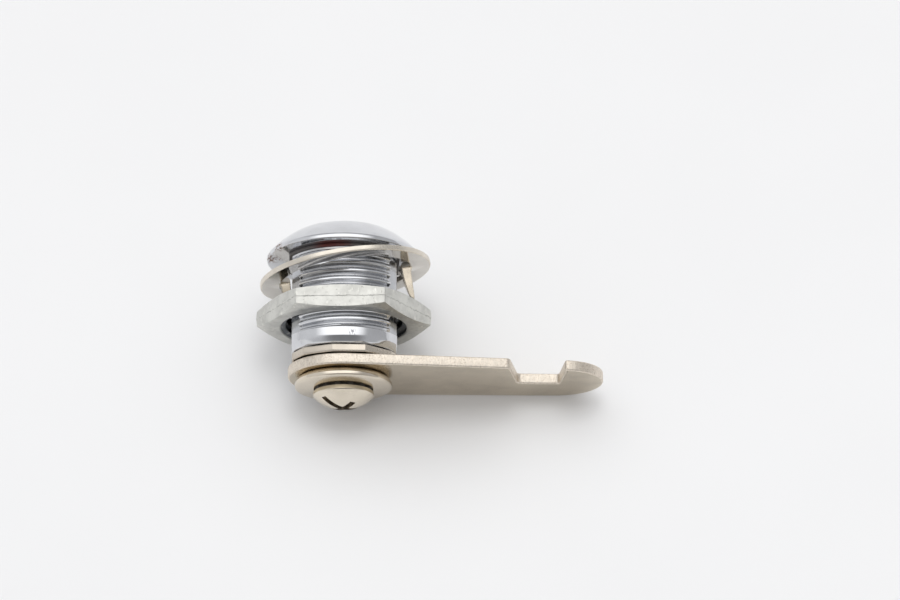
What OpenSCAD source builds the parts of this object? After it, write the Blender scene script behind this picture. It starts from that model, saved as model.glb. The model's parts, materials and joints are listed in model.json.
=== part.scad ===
// Quarter-turn cam lock: domed head on a threaded double-D barrel, a spur washer and a hex nut
// around it, a wafer key plug with a dust shutter inside, and a hooked cam on the plug's tail.
// The lock's axis is Y. The head faces -Y and the cam screw faces +Y. Y = 0 is the underside of
// the head, which sits on the panel, and X = 0, Z = 0 is the axis. The key slot stands upright.

/* [Head] */
// Diameter of the head
head_d = 23.8; // [23:0.1:30]
// Height of the head in front of the panel
head_h = 4.2; // [3.8:0.1:5.5]
// Height of the straight rim at the foot of the dome
head_rim = 0.6; // [0.3:0.1:1]
// Diameter of the flat at the front of the head
face_d = 15; // [14.8:0.1:18]

/* [Barrel] */
// Outside diameter of the thread on the barrel
barrel_d = 19; // [18.6:0.1:20]
// Width across the two flats of the barrel
barrel_flats = 16; // [15.4:0.1:16.6]
// Length of the barrel behind the panel seat
barrel_len = 15.7; // [15.2:0.1:19]
// Distance from one thread crest to the next
thread_pitch = 1.27; // [1.2:0.01:1.5]
// Depth of the thread below its crests
thread_depth = 0.6; // [0.4:0.05:0.7]
// Width of the threaded part, from the land beside one flat to the other
thread_w = 14.3; // [13:0.1:15]
// Length of the plain collar at the rear end
collar_len = 2.4; // [1:0.1:3]
// Depth of the collar's surface below the thread crests
collar_step = 0.2; // [0.1:0.05:0.4]
// Chamfer round the rear end of the barrel
end_chamfer = 0.5; // [0.2:0.1:0.7]
// Length of the undercut neck behind the head
neck_len = 0.9; // [0.7:0.1:1.4]
// Depth of the undercut neck below the thread crests
neck_step = 0.5; // [0.3:0.1:0.7]

/* [Head seal] */
// Width of the seal ring from its inside to its outside
seal_w = 0.5; // [0.4:0.05:0.6]
// Thickness of the seal ring along the axis
seal_t = 0.5; // [0.3:0.05:0.6]

/* [Spur washer] */
// Outside diameter of the washer
spur_d = 26.5; // [25.6:0.1:30]
// Sheet thickness of the washer
spur_t = 0.8; // [0.6:0.05:1]
// Angle at which the loose washer leans on the head
spur_tilt = 8.7; // [2:0.1:8.8]
// Direction in which it leans, below level
spur_lean = 9; // [0:1:40]
// Length of the prongs behind the washer
prong_len = 4.8; // [3:0.1:5.2]
// Width of a prong where it leaves the washer
prong_root = 2.6; // [2:0.1:4.4]
// Width of a prong at its tip
prong_tip = 0.5; // [0.3:0.1:1.2]
// Thickness of a prong where it leaves the washer, with its bend
prong_thick = 1.4; // [1:0.1:1.5]

/* [Hex nut] */
// Width across the flats of the nut
nut_flats = 23.4; // [22.6:0.1:28]
// Thickness of the nut
nut_t = 3.4; // [2.4:0.1:4]
// Distance from the panel seat to the front of the nut
nut_front = 7.4; // [7.2:0.1:8.4]
// Turn of the nut on its thread
nut_turn = 4; // [-30:0.5:30]
// Slope of the corner chamfers on both faces of the nut
nut_slope = 17; // [10:1:30]

/* [Key plug] */
// Diameter of the plug
plug_d = 12.1; // [11.6:0.1:12.4]
// Width of the flange behind the cap
plug_lip = 0.5; // [0.3:0.05:0.6]
// Length of the flange behind the cap
lip_len = 1; // [0.7:0.1:1.2]
// Width of the keyway
keyway_w = 2.2; // [1.8:0.1:2.4]
// Height of the keyway
keyway_h = 8.2; // [7:0.1:8.6]
// Width across the flats of the square tail
tail_flats = 7; // [6.6:0.1:7.4]

/* [Face cap] */
// Thickness of the front of the cap
cap_t = 0.6; // [0.4:0.05:0.8]
// Wall thickness of the cap's skirt
cap_wall = 0.35; // [0.25:0.05:0.45]

/* [Wafers] */
// Number of wafers
wafer_count = 6; // [4:1:6]
// Thickness of a wafer
wafer_t = 1.1; // [0.8:0.05:1.15]
// Distance from one wafer to the next
wafer_pitch = 1.75; // [1.65:0.01:1.75]
// Width of a wafer
wafer_w = 6.4; // [6:0.1:6.6]
// Travel of a wafer from flush to locked
wafer_travel = 0.8; // [0.5:0.05:0.9]
// Wire diameter of a wafer's spring
wafer_wire = 0.2; // [0.15:0.01:0.22]

/* [Dust shutter] */
// Thickness of the shutter leaf
leaf_t = 0.4; // [0.3:0.05:0.45]
// Outside diameter of the shutter's knuckles
knuckle_d = 1.4; // [1.3:0.05:1.5]
// Diameter of the shutter pin
pin_d = 0.6; // [0.5:0.05:0.7]
// Wire diameter of the shutter spring
leaf_wire = 0.18; // [0.12:0.01:0.2]

/* [Stop washer] */
// Thickness of the stop washer
stop_t = 1.35; // [1.2:0.05:1.6]
// Distance from the axis to the corners of the stop washer
stop_r = 9.4; // [9:0.05:9.6]
// Width across the stop washer's two flat sides
stop_flats = 15.8; // [15:0.1:16]
// Angle that the lock turns between its stops
turn_angle = 90; // [60:5:90]
// Angle that the stop lug covers
lug_angle = 28; // [20:1:28]

/* [Cam] */
// Thickness of the cam
cam_t = 1.65; // [1.4:0.05:2.5]
// Radius of the cam round the plug's tail
cam_base_r = 8.5; // [8:0.1:10]
// Distance from the axis to the centre of the nose
nose_at = 33; // [32:0.5:44]
// Drop of the nose's centre below the axis
nose_drop = 1; // [0:0.1:2]
// Radius of the nose
nose_r = 6.95; // [6.5:0.05:7.5]
// Width of the notch's floor
notch_w = 6.3; // [5:0.1:6.5]
// Height of the notch's floor above the lower edge of the nose
notch_floor = 6.6; // [5:0.1:7]
// Thickness of the hook beyond the notch, at the floor
hook_t = 6.8; // [6:0.1:7.4]

/* [Screw and washers] */
// Diameter of the flat washer
flat_d = 14.9; // [12:0.1:16]
// Thickness of the flat washer, with its crown
flat_t = 1.85; // [1.6:0.05:2.2]
// Diameter of the toothed washer over its teeth
tooth_d = 9.4; // [9.2:0.1:10]
// Thickness of the toothed washer's ring
tooth_t = 0.4; // [0.3:0.05:0.5]
// Number of teeth
teeth = 14; // [10:1:16]
// Diameter of the screw head
screw_head_d = 9.3; // [8.5:0.1:10]
// Height of the screw head
screw_head_h = 2.35; // [2.2:0.05:3]
// Outside diameter of the screw thread
screw_d = 5; // [4:0.1:5.2]
// Length of the screw under its head
screw_len = 8; // [7:0.5:8]
// Turn of the slot and the cross recess
recess_turn = 144; // [0:1:180]

/* [Clearances] */
// Radial gap of the plug in its bore
plug_gap = 0.05; // [0.03:0.01:0.08]
// Radial gap between the nut and the thread crests
nut_gap = 0.05; // [0.03:0.01:0.1]
// Gap of a wafer in its slot, on each side
wafer_gap = 0.05; // [0.03:0.01:0.06]
// Gap between pieces that slide past each other
slide_gap = 0.1; // [0.05:0.01:0.15]
// Gap round the square holes on the plug's tail
square_gap = 0.05; // [0.03:0.01:0.1]
// Gap between the loose spur washer and the thread crests
spur_gap = 0.7; // [0.6:0.05:0.9]

/* [Hidden] */
WAFERS = [for (i = [1:wafer_count]) str("wafer_", i)];
SPRINGS = [for (i = [1:wafer_count]) str("wafer_spring_", i)];
$fn = 48;
// Overrun of a cut past the face that it opens
cut = 0.5;

// Radii of the body
head_r = head_d / 2;
face_r = face_d / 2;
barrel_r = barrel_d / 2;
neck_r = barrel_r - neck_step;
root_r = barrel_r - thread_depth;
land_r = root_r - 0.05;
thread_end = barrel_len - collar_len;
collar_r = barrel_r - collar_step;
// The dome is part of a sphere through the rim's front edge and the edge of the flat face
dome_c = (head_r * head_r + head_rim * head_rim - face_r * face_r - head_h * head_h)
    / (2 * (head_h - head_rim));
dome_r = norm([face_r, head_h + dome_c]);

// Plug, cap and their seats
plug_r = plug_d / 2;
bore_r = plug_r + plug_gap;
flange_r = plug_r + plug_lip;
cap_r = flange_r + plug_gap + cap_wall;
cap_seat_r = cap_r + slide_gap;
plug_front = cap_t - head_h;
flange_back = plug_front + lip_len;
cap_seat = flange_back + plug_gap;
plug_back = barrel_len + slide_gap;
// The tail ends short of the cam's face, so that the screw clamps the cam
tail_back = plug_back + stop_t + cam_t - 0.15;
tail_corner_r = tail_flats * 0.67;

// Stations of the pieces on the plug's tail
cam_front = plug_back + stop_t;
cam_back = cam_front + cam_t;
flat_back = cam_back + flat_t;
tooth_lift = 0.1;
screw_seat = flat_back + tooth_t + tooth_lift;
screw_tip = screw_seat - screw_len;
tap_floor = screw_tip - 0.25;

// Dust shutter: the leaf shuts behind the cap and folds in beside the keyway
pin_r = pin_d / 2;
pin_gap = 0.04;
knuckle_r = knuckle_d / 2;
leaf_front = plug_front + slide_gap;
pin_y = leaf_front + knuckle_r;
leaf_over = 0.25;
leaf_side = 0.1;
pin_x = keyway_w / 2 + slide_gap + knuckle_r;
leaf_reach = pin_x + keyway_w / 2 + leaf_over;
leaf_h = keyway_h + 2 * leaf_side;
pocket_h = leaf_h + 2 * slide_gap;
pocket_back = pin_y + leaf_reach + slide_gap;
knuckle_h = 2.7;
pin_seat = 0.45;
coil_h = leaf_h - 2 * knuckle_h - 2 * slide_gap;

// Wafers: odd ones spring up and even ones down
wafer_r = plug_r - 0.07;
wafer_1 = pocket_back + 1.25;
wafer_lead = 0.3;
ear_w = 1.3;
ear_h = 1.8;
ear_foot = 0.2;
spring_len = 3;
spring_d = 1;
window_w = keyway_w + 0.4;
window_h = 6.2;
cuts = [0.5, -0.4, 0.2, -0.6, 0.4, -0.2];
chamber_w = wafer_w + 0.3;
chamber_r = plug_r + wafer_travel + 0.15;
chamber_front = wafer_1 - wafer_t / 2 - wafer_lead;
keyway_back = wafer_1 + (wafer_count - 1) * wafer_pitch + wafer_t / 2 + wafer_lead + slide_gap;

// Stop lug on the barrel's end, and the notch in the stop washer that rides over it
lug_from = -62;
lug_to = lug_from + lug_angle;
lug_in = bore_r + 0.65;
lug_out = collar_r - end_chamfer - 0.1;
lug_back = plug_back + stop_t - 0.2;
notch_in = lug_in - 0.2;
stop_play = 0.5;

// Spur washer
spur_r = spur_d / 2;
spur_hole_r = barrel_r + spur_gap;
prong_in = barrel_flats / 2 + seal_w + 0.15;
prong_end_t = spur_t * 0.6;
spur_shift = 0;
spur_lift = 0.55;
spur_seat = 0.05;

// Nut
nut_corner_r = nut_flats / 2 / cos(30);
nut_face_r = nut_flats / 2 - 0.1;
nut_bore_r = barrel_r + nut_gap;

// ---------- Helpers ----------

// A round bar along Y
module bar(r, y0, y1) {
    translate([0, y0, 0]) rotate([-90, 0, 0]) cylinder(r = r, h = y1 - y0);
}

// A cone along Y
module cone(r0, r1, y0, y1) {
    translate([0, y0, 0]) rotate([-90, 0, 0]) cylinder(r1 = r0, r2 = r1, h = y1 - y0);
}

// A flat plate along Y, from an outline drawn with X to the right and Z up
module plate(y0, y1) {
    translate([0, y1, 0]) rotate([90, 0, 0]) linear_extrude(y1 - y0) children();
}

// A solid turned round the lock's axis, from [radius, station] points
module turned(points) {
    rotate([-90, 0, 0]) rotate_extrude() polygon(points);
}

// A box between two corners
module box(low, high) {
    translate(low) cube(high - low);
}

// The part of a circle's area between two angles, measured from +X towards +Z
module sector(r, a0, a1) {
    steps = ceil((a1 - a0) / 30);
    reach = r / cos(15);
    polygon(concat(
        [[0, 0]],
        [for (i = [0:steps]) reach * [cos(a0 + (a1 - a0) * i / steps), sin(a0 + (a1 - a0) * i / steps)]]
    ));
}

function unit(v) = v / norm(v);

// Points that round the corner b between a and c
function fillet(a, b, c, r) =
    let (
        u = unit(a - b),
        w = unit(c - b),
        half = acos(u * w) / 2,
        mid = b + unit(u + w) * r / sin(half),
        from = b + u * r / tan(half) - mid,
        to = b + w * r / tan(half) - mid,
        start = atan2(from[1], from[0]),
        sweep = (atan2(to[1], to[0]) - start + 540) % 360 - 180
    )
    [for (i = [0:6]) mid + r * [cos(start + sweep * i / 6), sin(start + sweep * i / 6)]];

// Where a line that touches two circles touches each, above (side = 1) or below (side = -1) them
function tangent(c0, r0, c1, r1, side) =
    let (
        way = atan2(c1[1] - c0[1], c1[0] - c0[0]),
        a = way - side * acos((r0 - r1) / norm(c1 - c0))
    )
    [c0 + r0 * [cos(a), sin(a)], c1 + r1 * [cos(a), sin(a)]];

// A round wire wound along Z
module coil(r, wire, z0, z1, turns) {
    sides = 5;
    rings = turns * 10;
    points = [
        for (i = [0:rings], j = [0:sides - 1])
            let (
                t = 360 * turns * i / rings,
                a = 360 * j / sides,
                out = r + wire / 2 * cos(a)
            )
            [out * cos(t), out * sin(t), z0 + (z1 - z0) * i / rings + wire / 2 * sin(a)]
    ];
    skin = [
        for (i = [0:rings - 1], j = [0:sides - 1])
            let (k = (j + 1) % sides)
            [i * sides + j, i * sides + k, (i + 1) * sides + k, (i + 1) * sides + j]
    ];
    ends = [
        [for (j = [sides - 1:-1:0]) j],
        [for (j = [0:sides - 1]) rings * sides + j]
    ];
    polyhedron(points, concat(skin, ends), convexity = 10);
}

// ---------- Body, seal, spur washer and nut ----------

module head_solid() {
    intersection() {
        bar(head_r, -head_h, 0);
        translate([0, dome_c, 0]) rotate([90, 0, 0]) sphere(dome_r, $fn = 72);
    }
}

// The crests on one side of the barrel, between the lands beside the flats. Each groove is a ring
// that leans by the thread's lead
module thread_ridges(side) {
    lead = asin(thread_pitch / (PI * (barrel_r + root_r)));
    half = thread_w / 2;
    first = neck_len + 1.5 - (side > 0 ? 0 : thread_pitch / 2);
    root_w = thread_pitch * 0.24;
    groove = [
        [root_r, -root_w / 2],
        [root_r, root_w / 2],
        [barrel_r + 0.1, root_w / 2 + (thread_depth + 0.1) * tan(30)],
        [barrel_r + 0.1, -root_w / 2 - (thread_depth + 0.1) * tan(30)]
    ];
    difference() {
        intersection() {
            turned([
                [0, neck_len - 0.15],
                [land_r, neck_len - 0.15],
                [barrel_r, neck_len + 0.25],
                [barrel_r, thread_end],
                [collar_r - 0.05, thread_end + collar_step + 0.05],
                [0, thread_end + collar_step + 0.05]
            ]);
            mirror([0, 0, side > 0 ? 0 : 1]) box([-half, 0, 3], [half, barrel_len, barrel_r]);
        }
        for (y = [first:thread_pitch:thread_end - thread_pitch / 2])
            translate([0, y, 0]) rotate([0, 0, side * lead]) turned(groove);
    }
}

module barrel_solid() {
    intersection() {
        turned([
            [0, -cut],
            [neck_r, -cut],
            [neck_r, neck_len - 0.35],
            [land_r, neck_len - 0.2],
            [land_r, thread_end - 0.05],
            [collar_r, thread_end + 0.05],
            [collar_r, barrel_len - end_chamfer * 1.2],
            [collar_r - end_chamfer, barrel_len],
            [0, barrel_len]
        ]);
        box([-barrel_flats / 2, -cut, -barrel_r], [barrel_flats / 2, barrel_len, barrel_r]);
    }
    for (side = [-1, 1])
        thread_ridges(side);
}

module stop_lug() {
    plate(barrel_len - cut, lug_back) intersection() {
        difference() {
            circle(lug_out);
            circle(lug_in);
        }
        sector(lug_out, lug_from, lug_to);
    }
}

// Two chambers above and below the bore, for the wafers
module wafer_chambers() {
    intersection() {
        bar(barrel_r - 1, chamber_front, barrel_len + cut);
        box([-chamber_w / 2, chamber_front, -chamber_r], [chamber_w / 2, barrel_len + cut, chamber_r]);
    }
}

module lock_body() {
    color("gainsboro") difference() {
        union() {
            head_solid();
            barrel_solid();
            stop_lug();
        }
        bar(cap_seat_r, -head_h - cut, cap_seat);
        bar(bore_r, -head_h, barrel_len + cut);
        wafer_chambers();
    }
}

module neck_outline(grow) {
    intersection() {
        circle(neck_r + grow);
        square([barrel_flats + 2 * grow, 2 * barrel_d], center = true);
    }
}

module head_seal() {
    color("saddlebrown") plate(0, seal_t) difference() {
        neck_outline(seal_w);
        neck_outline(0.01);
    }
}

// One prong, bent back from the rim of the hole. It narrows to its tip both ways
module prong(side) {
    out_x = prong_in + prong_thick;
    tip_y = spur_t + prong_len;
    mirror([side > 0 ? 0 : 1, 0, 0]) intersection() {
        linear_extrude(prong_root, center = true) polygon([
            [prong_in, 0],
            [out_x, 0],
            [out_x, tip_y],
            [out_x - prong_end_t, tip_y],
            [out_x - spur_t, tip_y * 0.6],
            [prong_in, spur_t]
        ]);
        rotate([90, 0, 90]) linear_extrude(out_x + cut) polygon([
            [0, -prong_root / 2],
            [spur_t, -prong_root / 2],
            [tip_y, -prong_tip / 2],
            [tip_y, prong_tip / 2],
            [spur_t, prong_root / 2],
            [0, prong_root / 2]
        ]);
    }
}

module flat_spur_washer() {
    difference() {
        bar(spur_r, 0, spur_t);
        difference() {
            bar(spur_hole_r, -cut, spur_t + cut);
            for (side = [-1, 1])
                box(
                    [side > 0 ? prong_in : -spur_r, -2 * cut, -prong_root / 2],
                    [side > 0 ? spur_r : -prong_in, spur_t + 2 * cut, prong_root / 2]
                );
        }
    }
    for (side = [-1, 1])
        prong(side);
}

// The loose washer leans on the head's rim, at the point that spur_lean gives
module spur_washer() {
    rest = -head_r * [cos(spur_lean), 0, sin(spur_lean)];
    color("antiquewhite") translate(rest) rotate(spur_tilt, [-sin(spur_lean), 0, cos(spur_lean)])
        translate([spur_shift, spur_seat, spur_lift] - rest) flat_spur_washer();
}

module hex_nut() {
    rise = (nut_corner_r - nut_face_r) * tan(nut_slope);
    bevel = 0.35;
    color("darkgray") translate([0, nut_front, 0]) rotate([0, nut_turn, 0]) difference() {
        intersection() {
            rotate([-90, 0, 0]) cylinder(r = nut_corner_r, h = nut_t, $fn = 6);
            turned([
                [0, 0],
                [nut_face_r, 0],
                [nut_corner_r, rise],
                [nut_corner_r, nut_t - rise],
                [nut_face_r, nut_t],
                [0, nut_t]
            ]);
        }
        bar(nut_bore_r, -cut, nut_t + cut);
        cone(nut_bore_r + bevel + cut, nut_bore_r, -cut, bevel);
        cone(nut_bore_r, nut_bore_r + bevel + cut, nut_t - bevel, nut_t + cut);
    }
}

// ---------- Key plug, cap and shutter ----------

function wafer_y(i) = wafer_1 + (i - 1) * wafer_pitch;
function wafer_way(i) = i % 2 == 1 ? 1 : -1;

// The slot of wafer i, with the pocket for its spring
module wafer_slot(i) {
    y0 = wafer_y(i) - wafer_t / 2 - wafer_gap;
    y1 = wafer_y(i) + wafer_t / 2 + wafer_gap;
    half = wafer_w / 2 + wafer_gap;
    box([-half, y0, -plug_r - cut], [half, y1, plug_r + cut]);
    floor_z = -ear_foot - spring_len;
    top_z = ear_h - ear_foot + wafer_travel + slide_gap;
    mirror([0, 0, wafer_way(i) > 0 ? 0 : 1])
        box([0, y0, floor_z], [half + ear_w, y1, top_z]);
}

module shutter_pocket() {
    left = pin_x - norm([leaf_reach, knuckle_r]) - slide_gap;
    right = pin_x + knuckle_r + slide_gap;
    box([left, plug_front - cut, -pocket_h / 2], [right, pocket_back, pocket_h / 2]);
}

module key_plug() {
    color("silver") difference() {
        union() {
            bar(flange_r, plug_front, flange_back);
            bar(plug_r, plug_front, plug_back);
            plate(plug_back - cut, tail_back) intersection() {
                square(tail_flats, center = true);
                circle(tail_corner_r);
            }
        }
        box([-keyway_w / 2, plug_front - cut, -keyway_h / 2], [keyway_w / 2, keyway_back, keyway_h / 2]);
        shutter_pocket();
        for (i = [1:wafer_count])
            wafer_slot(i);
        translate([pin_x, pin_y, 0])
            cylinder(r = pin_r + 0.01, h = pocket_h + 2 * (pin_seat + slide_gap / 2), center = true);
        bar(screw_d / 2 + slide_gap / 2, tap_floor, tail_back + cut);
    }
}

// Outline of the key slot, with round ends
module key_slot(w, h) {
    square([w, h - w], center = true);
    for (s = [-1, 1])
        translate([0, s * (h - w) / 2]) circle(w / 2);
}

module face_cap() {
    edge = 0.25;
    color("gainsboro") difference() {
        turned([
            [0, -head_h],
            [cap_r - edge, -head_h],
            [cap_r, edge - head_h],
            [cap_r, flange_back],
            [flange_r + plug_gap, flange_back],
            [flange_r + plug_gap, plug_front],
            [0, plug_front]
        ]);
        plate(-head_h - cut, plug_front + cut) key_slot(keyway_w + 0.2, keyway_h + 0.2);
    }
}

module dust_shutter() {
    color("silver") translate([pin_x, pin_y, 0]) difference() {
        union() {
            box([-leaf_reach, -knuckle_r, -leaf_h / 2], [0, leaf_t - knuckle_r, leaf_h / 2]);
            for (s = [-1, 1])
                translate([0, 0, s * (leaf_h - knuckle_h) / 2])
                    cylinder(r = knuckle_r, h = knuckle_h, center = true);
        }
        cylinder(r = pin_r + pin_gap, h = leaf_h + cut, center = true);
        cylinder(r = knuckle_r + slide_gap, h = coil_h + 2 * slide_gap, center = true);
    }
}

module shutter_pin() {
    color("silver") translate([pin_x, pin_y, 0])
        cylinder(r = pin_r, h = pocket_h + 2 * pin_seat, center = true);
}

// Wound on the pin between the two knuckles
module shutter_spring() {
    half = coil_h / 2 - leaf_wire / 2;
    color("silver") translate([pin_x, pin_y, 0])
        coil(pin_r + leaf_wire / 2 + 0.04, leaf_wire, -half, half, 6);
}

// Wafer i, drawn in flush with the plug as a key holds it
module wafer(i) {
    half = wafer_w / 2;
    color("goldenrod") mirror([0, 0, wafer_way(i) > 0 ? 0 : 1])
        plate(wafer_y(i) - wafer_t / 2, wafer_y(i) + wafer_t / 2) difference() {
            union() {
                intersection() {
                    circle(wafer_r);
                    square([wafer_w, 2 * plug_d], center = true);
                }
                translate([half - 0.2, -ear_foot]) square([ear_w + 0.2 - wafer_gap, ear_h]);
            }
            translate([0, cuts[i - 1]]) square([window_w, window_h], center = true);
        }
}

// The spring of wafer i, between the floor of its pocket and the wafer's ear
module wafer_spring(i) {
    x = wafer_w / 2 + wafer_gap + spring_d / 2 + 0.1;
    color("silver") mirror([0, 0, wafer_way(i) > 0 ? 0 : 1])
        translate([x, wafer_y(i), 0]) coil(
            (spring_d - wafer_wire) / 2,
            wafer_wire,
            -ear_foot - spring_len + wafer_wire / 2,
            -ear_foot - wafer_wire / 2,
            5
        );
}

// ---------- Pieces on the plug's tail ----------

module tail_hole() {
    square(tail_flats + 2 * square_gap, center = true);
}

// A flat-sided washer, cut away below so that the barrel's lug stops it at both ends of its turn.
// Each corner is [angle from +X towards +Z, share of stop_r]
module stop_washer() {
    side = stop_flats / 2;
    top = [[48, 0.99], [78, 0.965], [109, 1], [142, 0.96]];
    low = [lug_from - turn_angle - stop_play, lug_to + stop_play];
    color("antiquewhite") plate(plug_back, cam_front) difference() {
        intersection() {
            polygon([
                for (c = concat([[8, 1]], top, [[172, 1]], [for (a = [210:25:335]) [a, 1]]))
                    stop_r * c[1] * [cos(c[0]), sin(c[0])]
            ]);
            square([2 * side, 3 * stop_r], center = true);
        }
        difference() {
            sector(stop_r + 1, low[0], low[1]);
            circle(notch_in);
        }
        tail_hole();
    }
}

// The cam's outline: its arm narrows from the base to a round nose and is notched from above
module cam_outline() {
    nose = [-nose_at, -nose_drop];
    // The arm's edges cross the round base a little inside its edge
    inner_r = cam_base_r - 0.03;
    top = tangent([0, 0], inner_r, nose, nose_r, 1);
    bottom = tangent([0, 0], inner_r, nose, nose_r, -1);
    floor_z = -nose_drop - nose_r + notch_floor;
    far_x = -nose_at - nose_r + hook_t;
    near_x = far_x + notch_w;
    // The near wall leans back by 13 degrees and the hook's wall by 6
    slope = (top[1][1] - top[0][1]) / (top[1][0] - top[0][0]);
    lip_x = near_x + (top[0][1] + slope * (near_x - top[0][0]) - floor_z) * tan(13);
    lip = [lip_x, top[0][1] + slope * (lip_x - top[0][0])];
    tip_a = 94;
    tip = nose + nose_r * [cos(tip_a), sin(tip_a)];
    a1 = atan2(bottom[1][1] - nose[1], bottom[1][0] - nose[0]) + 360;
    arc = [
        for (i = [2:30])
            let (a = tip_a + (a1 - tip_a) * i / 30)
            nose + nose_r * [cos(a), sin(a)]
    ];
    circle(cam_base_r);
    polygon(concat(
        [top[0]],
        fillet(top[0], lip, [near_x, floor_z], 0.9),
        fillet(lip, [near_x, floor_z], [far_x, floor_z], 0.7),
        fillet([near_x, floor_z], [far_x, floor_z], tip, 0.5),
        fillet([far_x, floor_z], tip, arc[0], 0.35),
        arc,
        [bottom[0]]
    ));
}

module cam() {
    color("antiquewhite") plate(cam_front, cam_back) difference() {
        cam_outline();
        tail_hole();
    }
}

module flat_washer() {
    r = flat_d / 2;
    hole_r = screw_d / 2 + 0.2;
    bevel = 0.3;
    crown = 0.55;
    seat_r = screw_head_d / 2;
    color("antiquewhite") turned([
        [hole_r, cam_back],
        [r - bevel / 2, cam_back],
        [r, cam_back + bevel],
        [r, flat_back - crown - bevel * 1.6],
        [r - bevel / 2, flat_back - crown - bevel * 0.7],
        [r - bevel * 1.7, flat_back - crown],
        [seat_r + 0.3, flat_back - 0.04],
        [seat_r - 0.1, flat_back],
        [hole_r, flat_back]
    ]);
}

// External teeth, each twisted out of the ring
module toothed_washer() {
    tooth_w = 1.1;
    root_r = tooth_d / 2 - 1.35;
    mid = flat_back + (tooth_t + tooth_lift) / 2;
    color("dimgray") difference() {
        union() {
            bar(root_r + 0.25, mid - tooth_t / 2, mid + tooth_t / 2);
            for (i = [0:teeth - 1])
                translate([0, mid, 0]) rotate([5, 360 * i / teeth, 0])
                    box([root_r, -tooth_t / 2, -tooth_w / 2], [tooth_d / 2, tooth_t / 2, tooth_w / 2]);
        }
        bar(screw_d / 2 + slide_gap, flat_back - cut, screw_seat + cut);
    }
}

// Pan head with a slot and a cross recess, and its shank in the plug's tapped hole
module cam_screw() {
    r = screw_head_d / 2;
    rim = 0.45;
    dome = screw_head_h - rim;
    apex = screw_seat + screw_head_h;
    edge = 0.1;
    tip_bevel = 0.5;
    recess_w = 1.1;
    recess_h = 1.9;
    slot_h = 1.2;
    color("antiquewhite") difference() {
        turned(concat(
            [[0, screw_tip], [screw_d / 2 - tip_bevel, screw_tip], [screw_d / 2, screw_tip + tip_bevel]],
            [[screw_d / 2, screw_seat], [r - edge, screw_seat], [r, screw_seat + edge]],
            [for (a = [0:9:90]) [r * pow(cos(a), 0.9), screw_seat + rim + dome * pow(sin(a), 0.9)]]
        ));
        rotate([0, recess_turn, 0])
            box([0.2 - r, apex - slot_h, -recess_w / 2], [r - 0.2, apex + cut, recess_w / 2]);
        intersection() {
            cone(recess_w * 0.9, r * 2 / 3, apex - recess_h, apex + cut / 5);
            for (turn = [0, 90])
                rotate([0, recess_turn + turn, 0])
                    box([-r, apex - recess_h - cut, -recess_w / 2], [r, apex + cut, recess_w / 2]);
        }
    }
}

// ---------- Nodes ----------

lock_body();
head_seal();
spur_washer();
hex_nut();
key_plug();
face_cap();
dust_shutter();
shutter_pin();
shutter_spring();
for (i = [1:wafer_count]) {
    wafer(i);
    wafer_spring(i);
}
stop_washer();
cam();
flat_washer();
toothed_washer();
cam_screw();
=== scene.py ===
import json
import logging
import math
from dataclasses import dataclass, field
from enum import Enum
from typing import Callable, Sequence

import bmesh
import bpy
from mathutils import Matrix, Vector
from mathutils.geometry import tessellate_polygon

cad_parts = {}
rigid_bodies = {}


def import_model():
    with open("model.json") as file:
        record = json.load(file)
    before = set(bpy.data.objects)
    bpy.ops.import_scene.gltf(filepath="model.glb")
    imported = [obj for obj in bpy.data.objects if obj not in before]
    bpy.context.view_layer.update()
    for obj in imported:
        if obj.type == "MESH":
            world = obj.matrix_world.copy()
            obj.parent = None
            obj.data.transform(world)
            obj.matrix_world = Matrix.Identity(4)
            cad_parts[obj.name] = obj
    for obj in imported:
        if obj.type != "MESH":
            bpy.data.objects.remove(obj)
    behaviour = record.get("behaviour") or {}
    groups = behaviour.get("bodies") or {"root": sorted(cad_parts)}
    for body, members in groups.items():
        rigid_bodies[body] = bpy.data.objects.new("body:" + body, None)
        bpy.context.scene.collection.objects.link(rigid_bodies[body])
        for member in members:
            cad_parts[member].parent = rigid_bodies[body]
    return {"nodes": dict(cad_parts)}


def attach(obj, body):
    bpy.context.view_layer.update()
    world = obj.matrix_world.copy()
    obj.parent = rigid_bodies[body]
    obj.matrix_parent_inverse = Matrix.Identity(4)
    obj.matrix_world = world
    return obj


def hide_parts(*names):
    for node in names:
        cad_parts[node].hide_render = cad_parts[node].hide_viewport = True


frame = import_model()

log = logging.getLogger("cam_lock")

MM = 0.001
TURN = 2 * math.pi
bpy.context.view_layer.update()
# Edges that turn by more than this, in degrees, stay sharp
CREASE = 34.0
# Points closer than this, in metres, become one
WELD = 1e-7
# Keeps a number that is divided by away from zero
TINY = 1e-6

Point = tuple[float, float, float]
Flat = tuple[float, float]
Ring = list[Point]
Colour = tuple[float, float, float]


# ---------- Outlines ----------


def polar(angle: float, radius: float) -> Flat:
    """Gives the flat point at an angle in degrees, measured from +X towards +Z."""
    return (radius * math.cos(math.radians(angle)), radius * math.sin(math.radians(angle)))


def stand(angle: float, radius: float, station: float) -> Point:
    """Gives the point at an angle in degrees and a radius, at a station along the axis."""
    x, z = polar(angle, radius)
    return (x, station, z)


def smooth(value: float, low: float, high: float) -> float:
    """Rises smoothly from 0 at low to 1 at high."""
    share = min(1.0, max(0.0, (value - low) / (high - low)))
    return share * share * (3 - 2 * share)


def arc(centre: Flat, radius: float, start: float, end: float, steps: int) -> list[Flat]:
    """Gives the points of an arc.

    Args:
        centre: Centre of the arc.
        radius: Radius of the arc.
        start: First angle, in degrees.
        end: Last angle, in degrees.
        steps: Number of chords.

    Returns:
        The points, both ends among them.
    """
    angles = [start + (end - start) * i / steps for i in range(steps + 1)]
    return [(centre[0] + polar(a, radius)[0], centre[1] + polar(a, radius)[1]) for a in angles]


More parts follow.
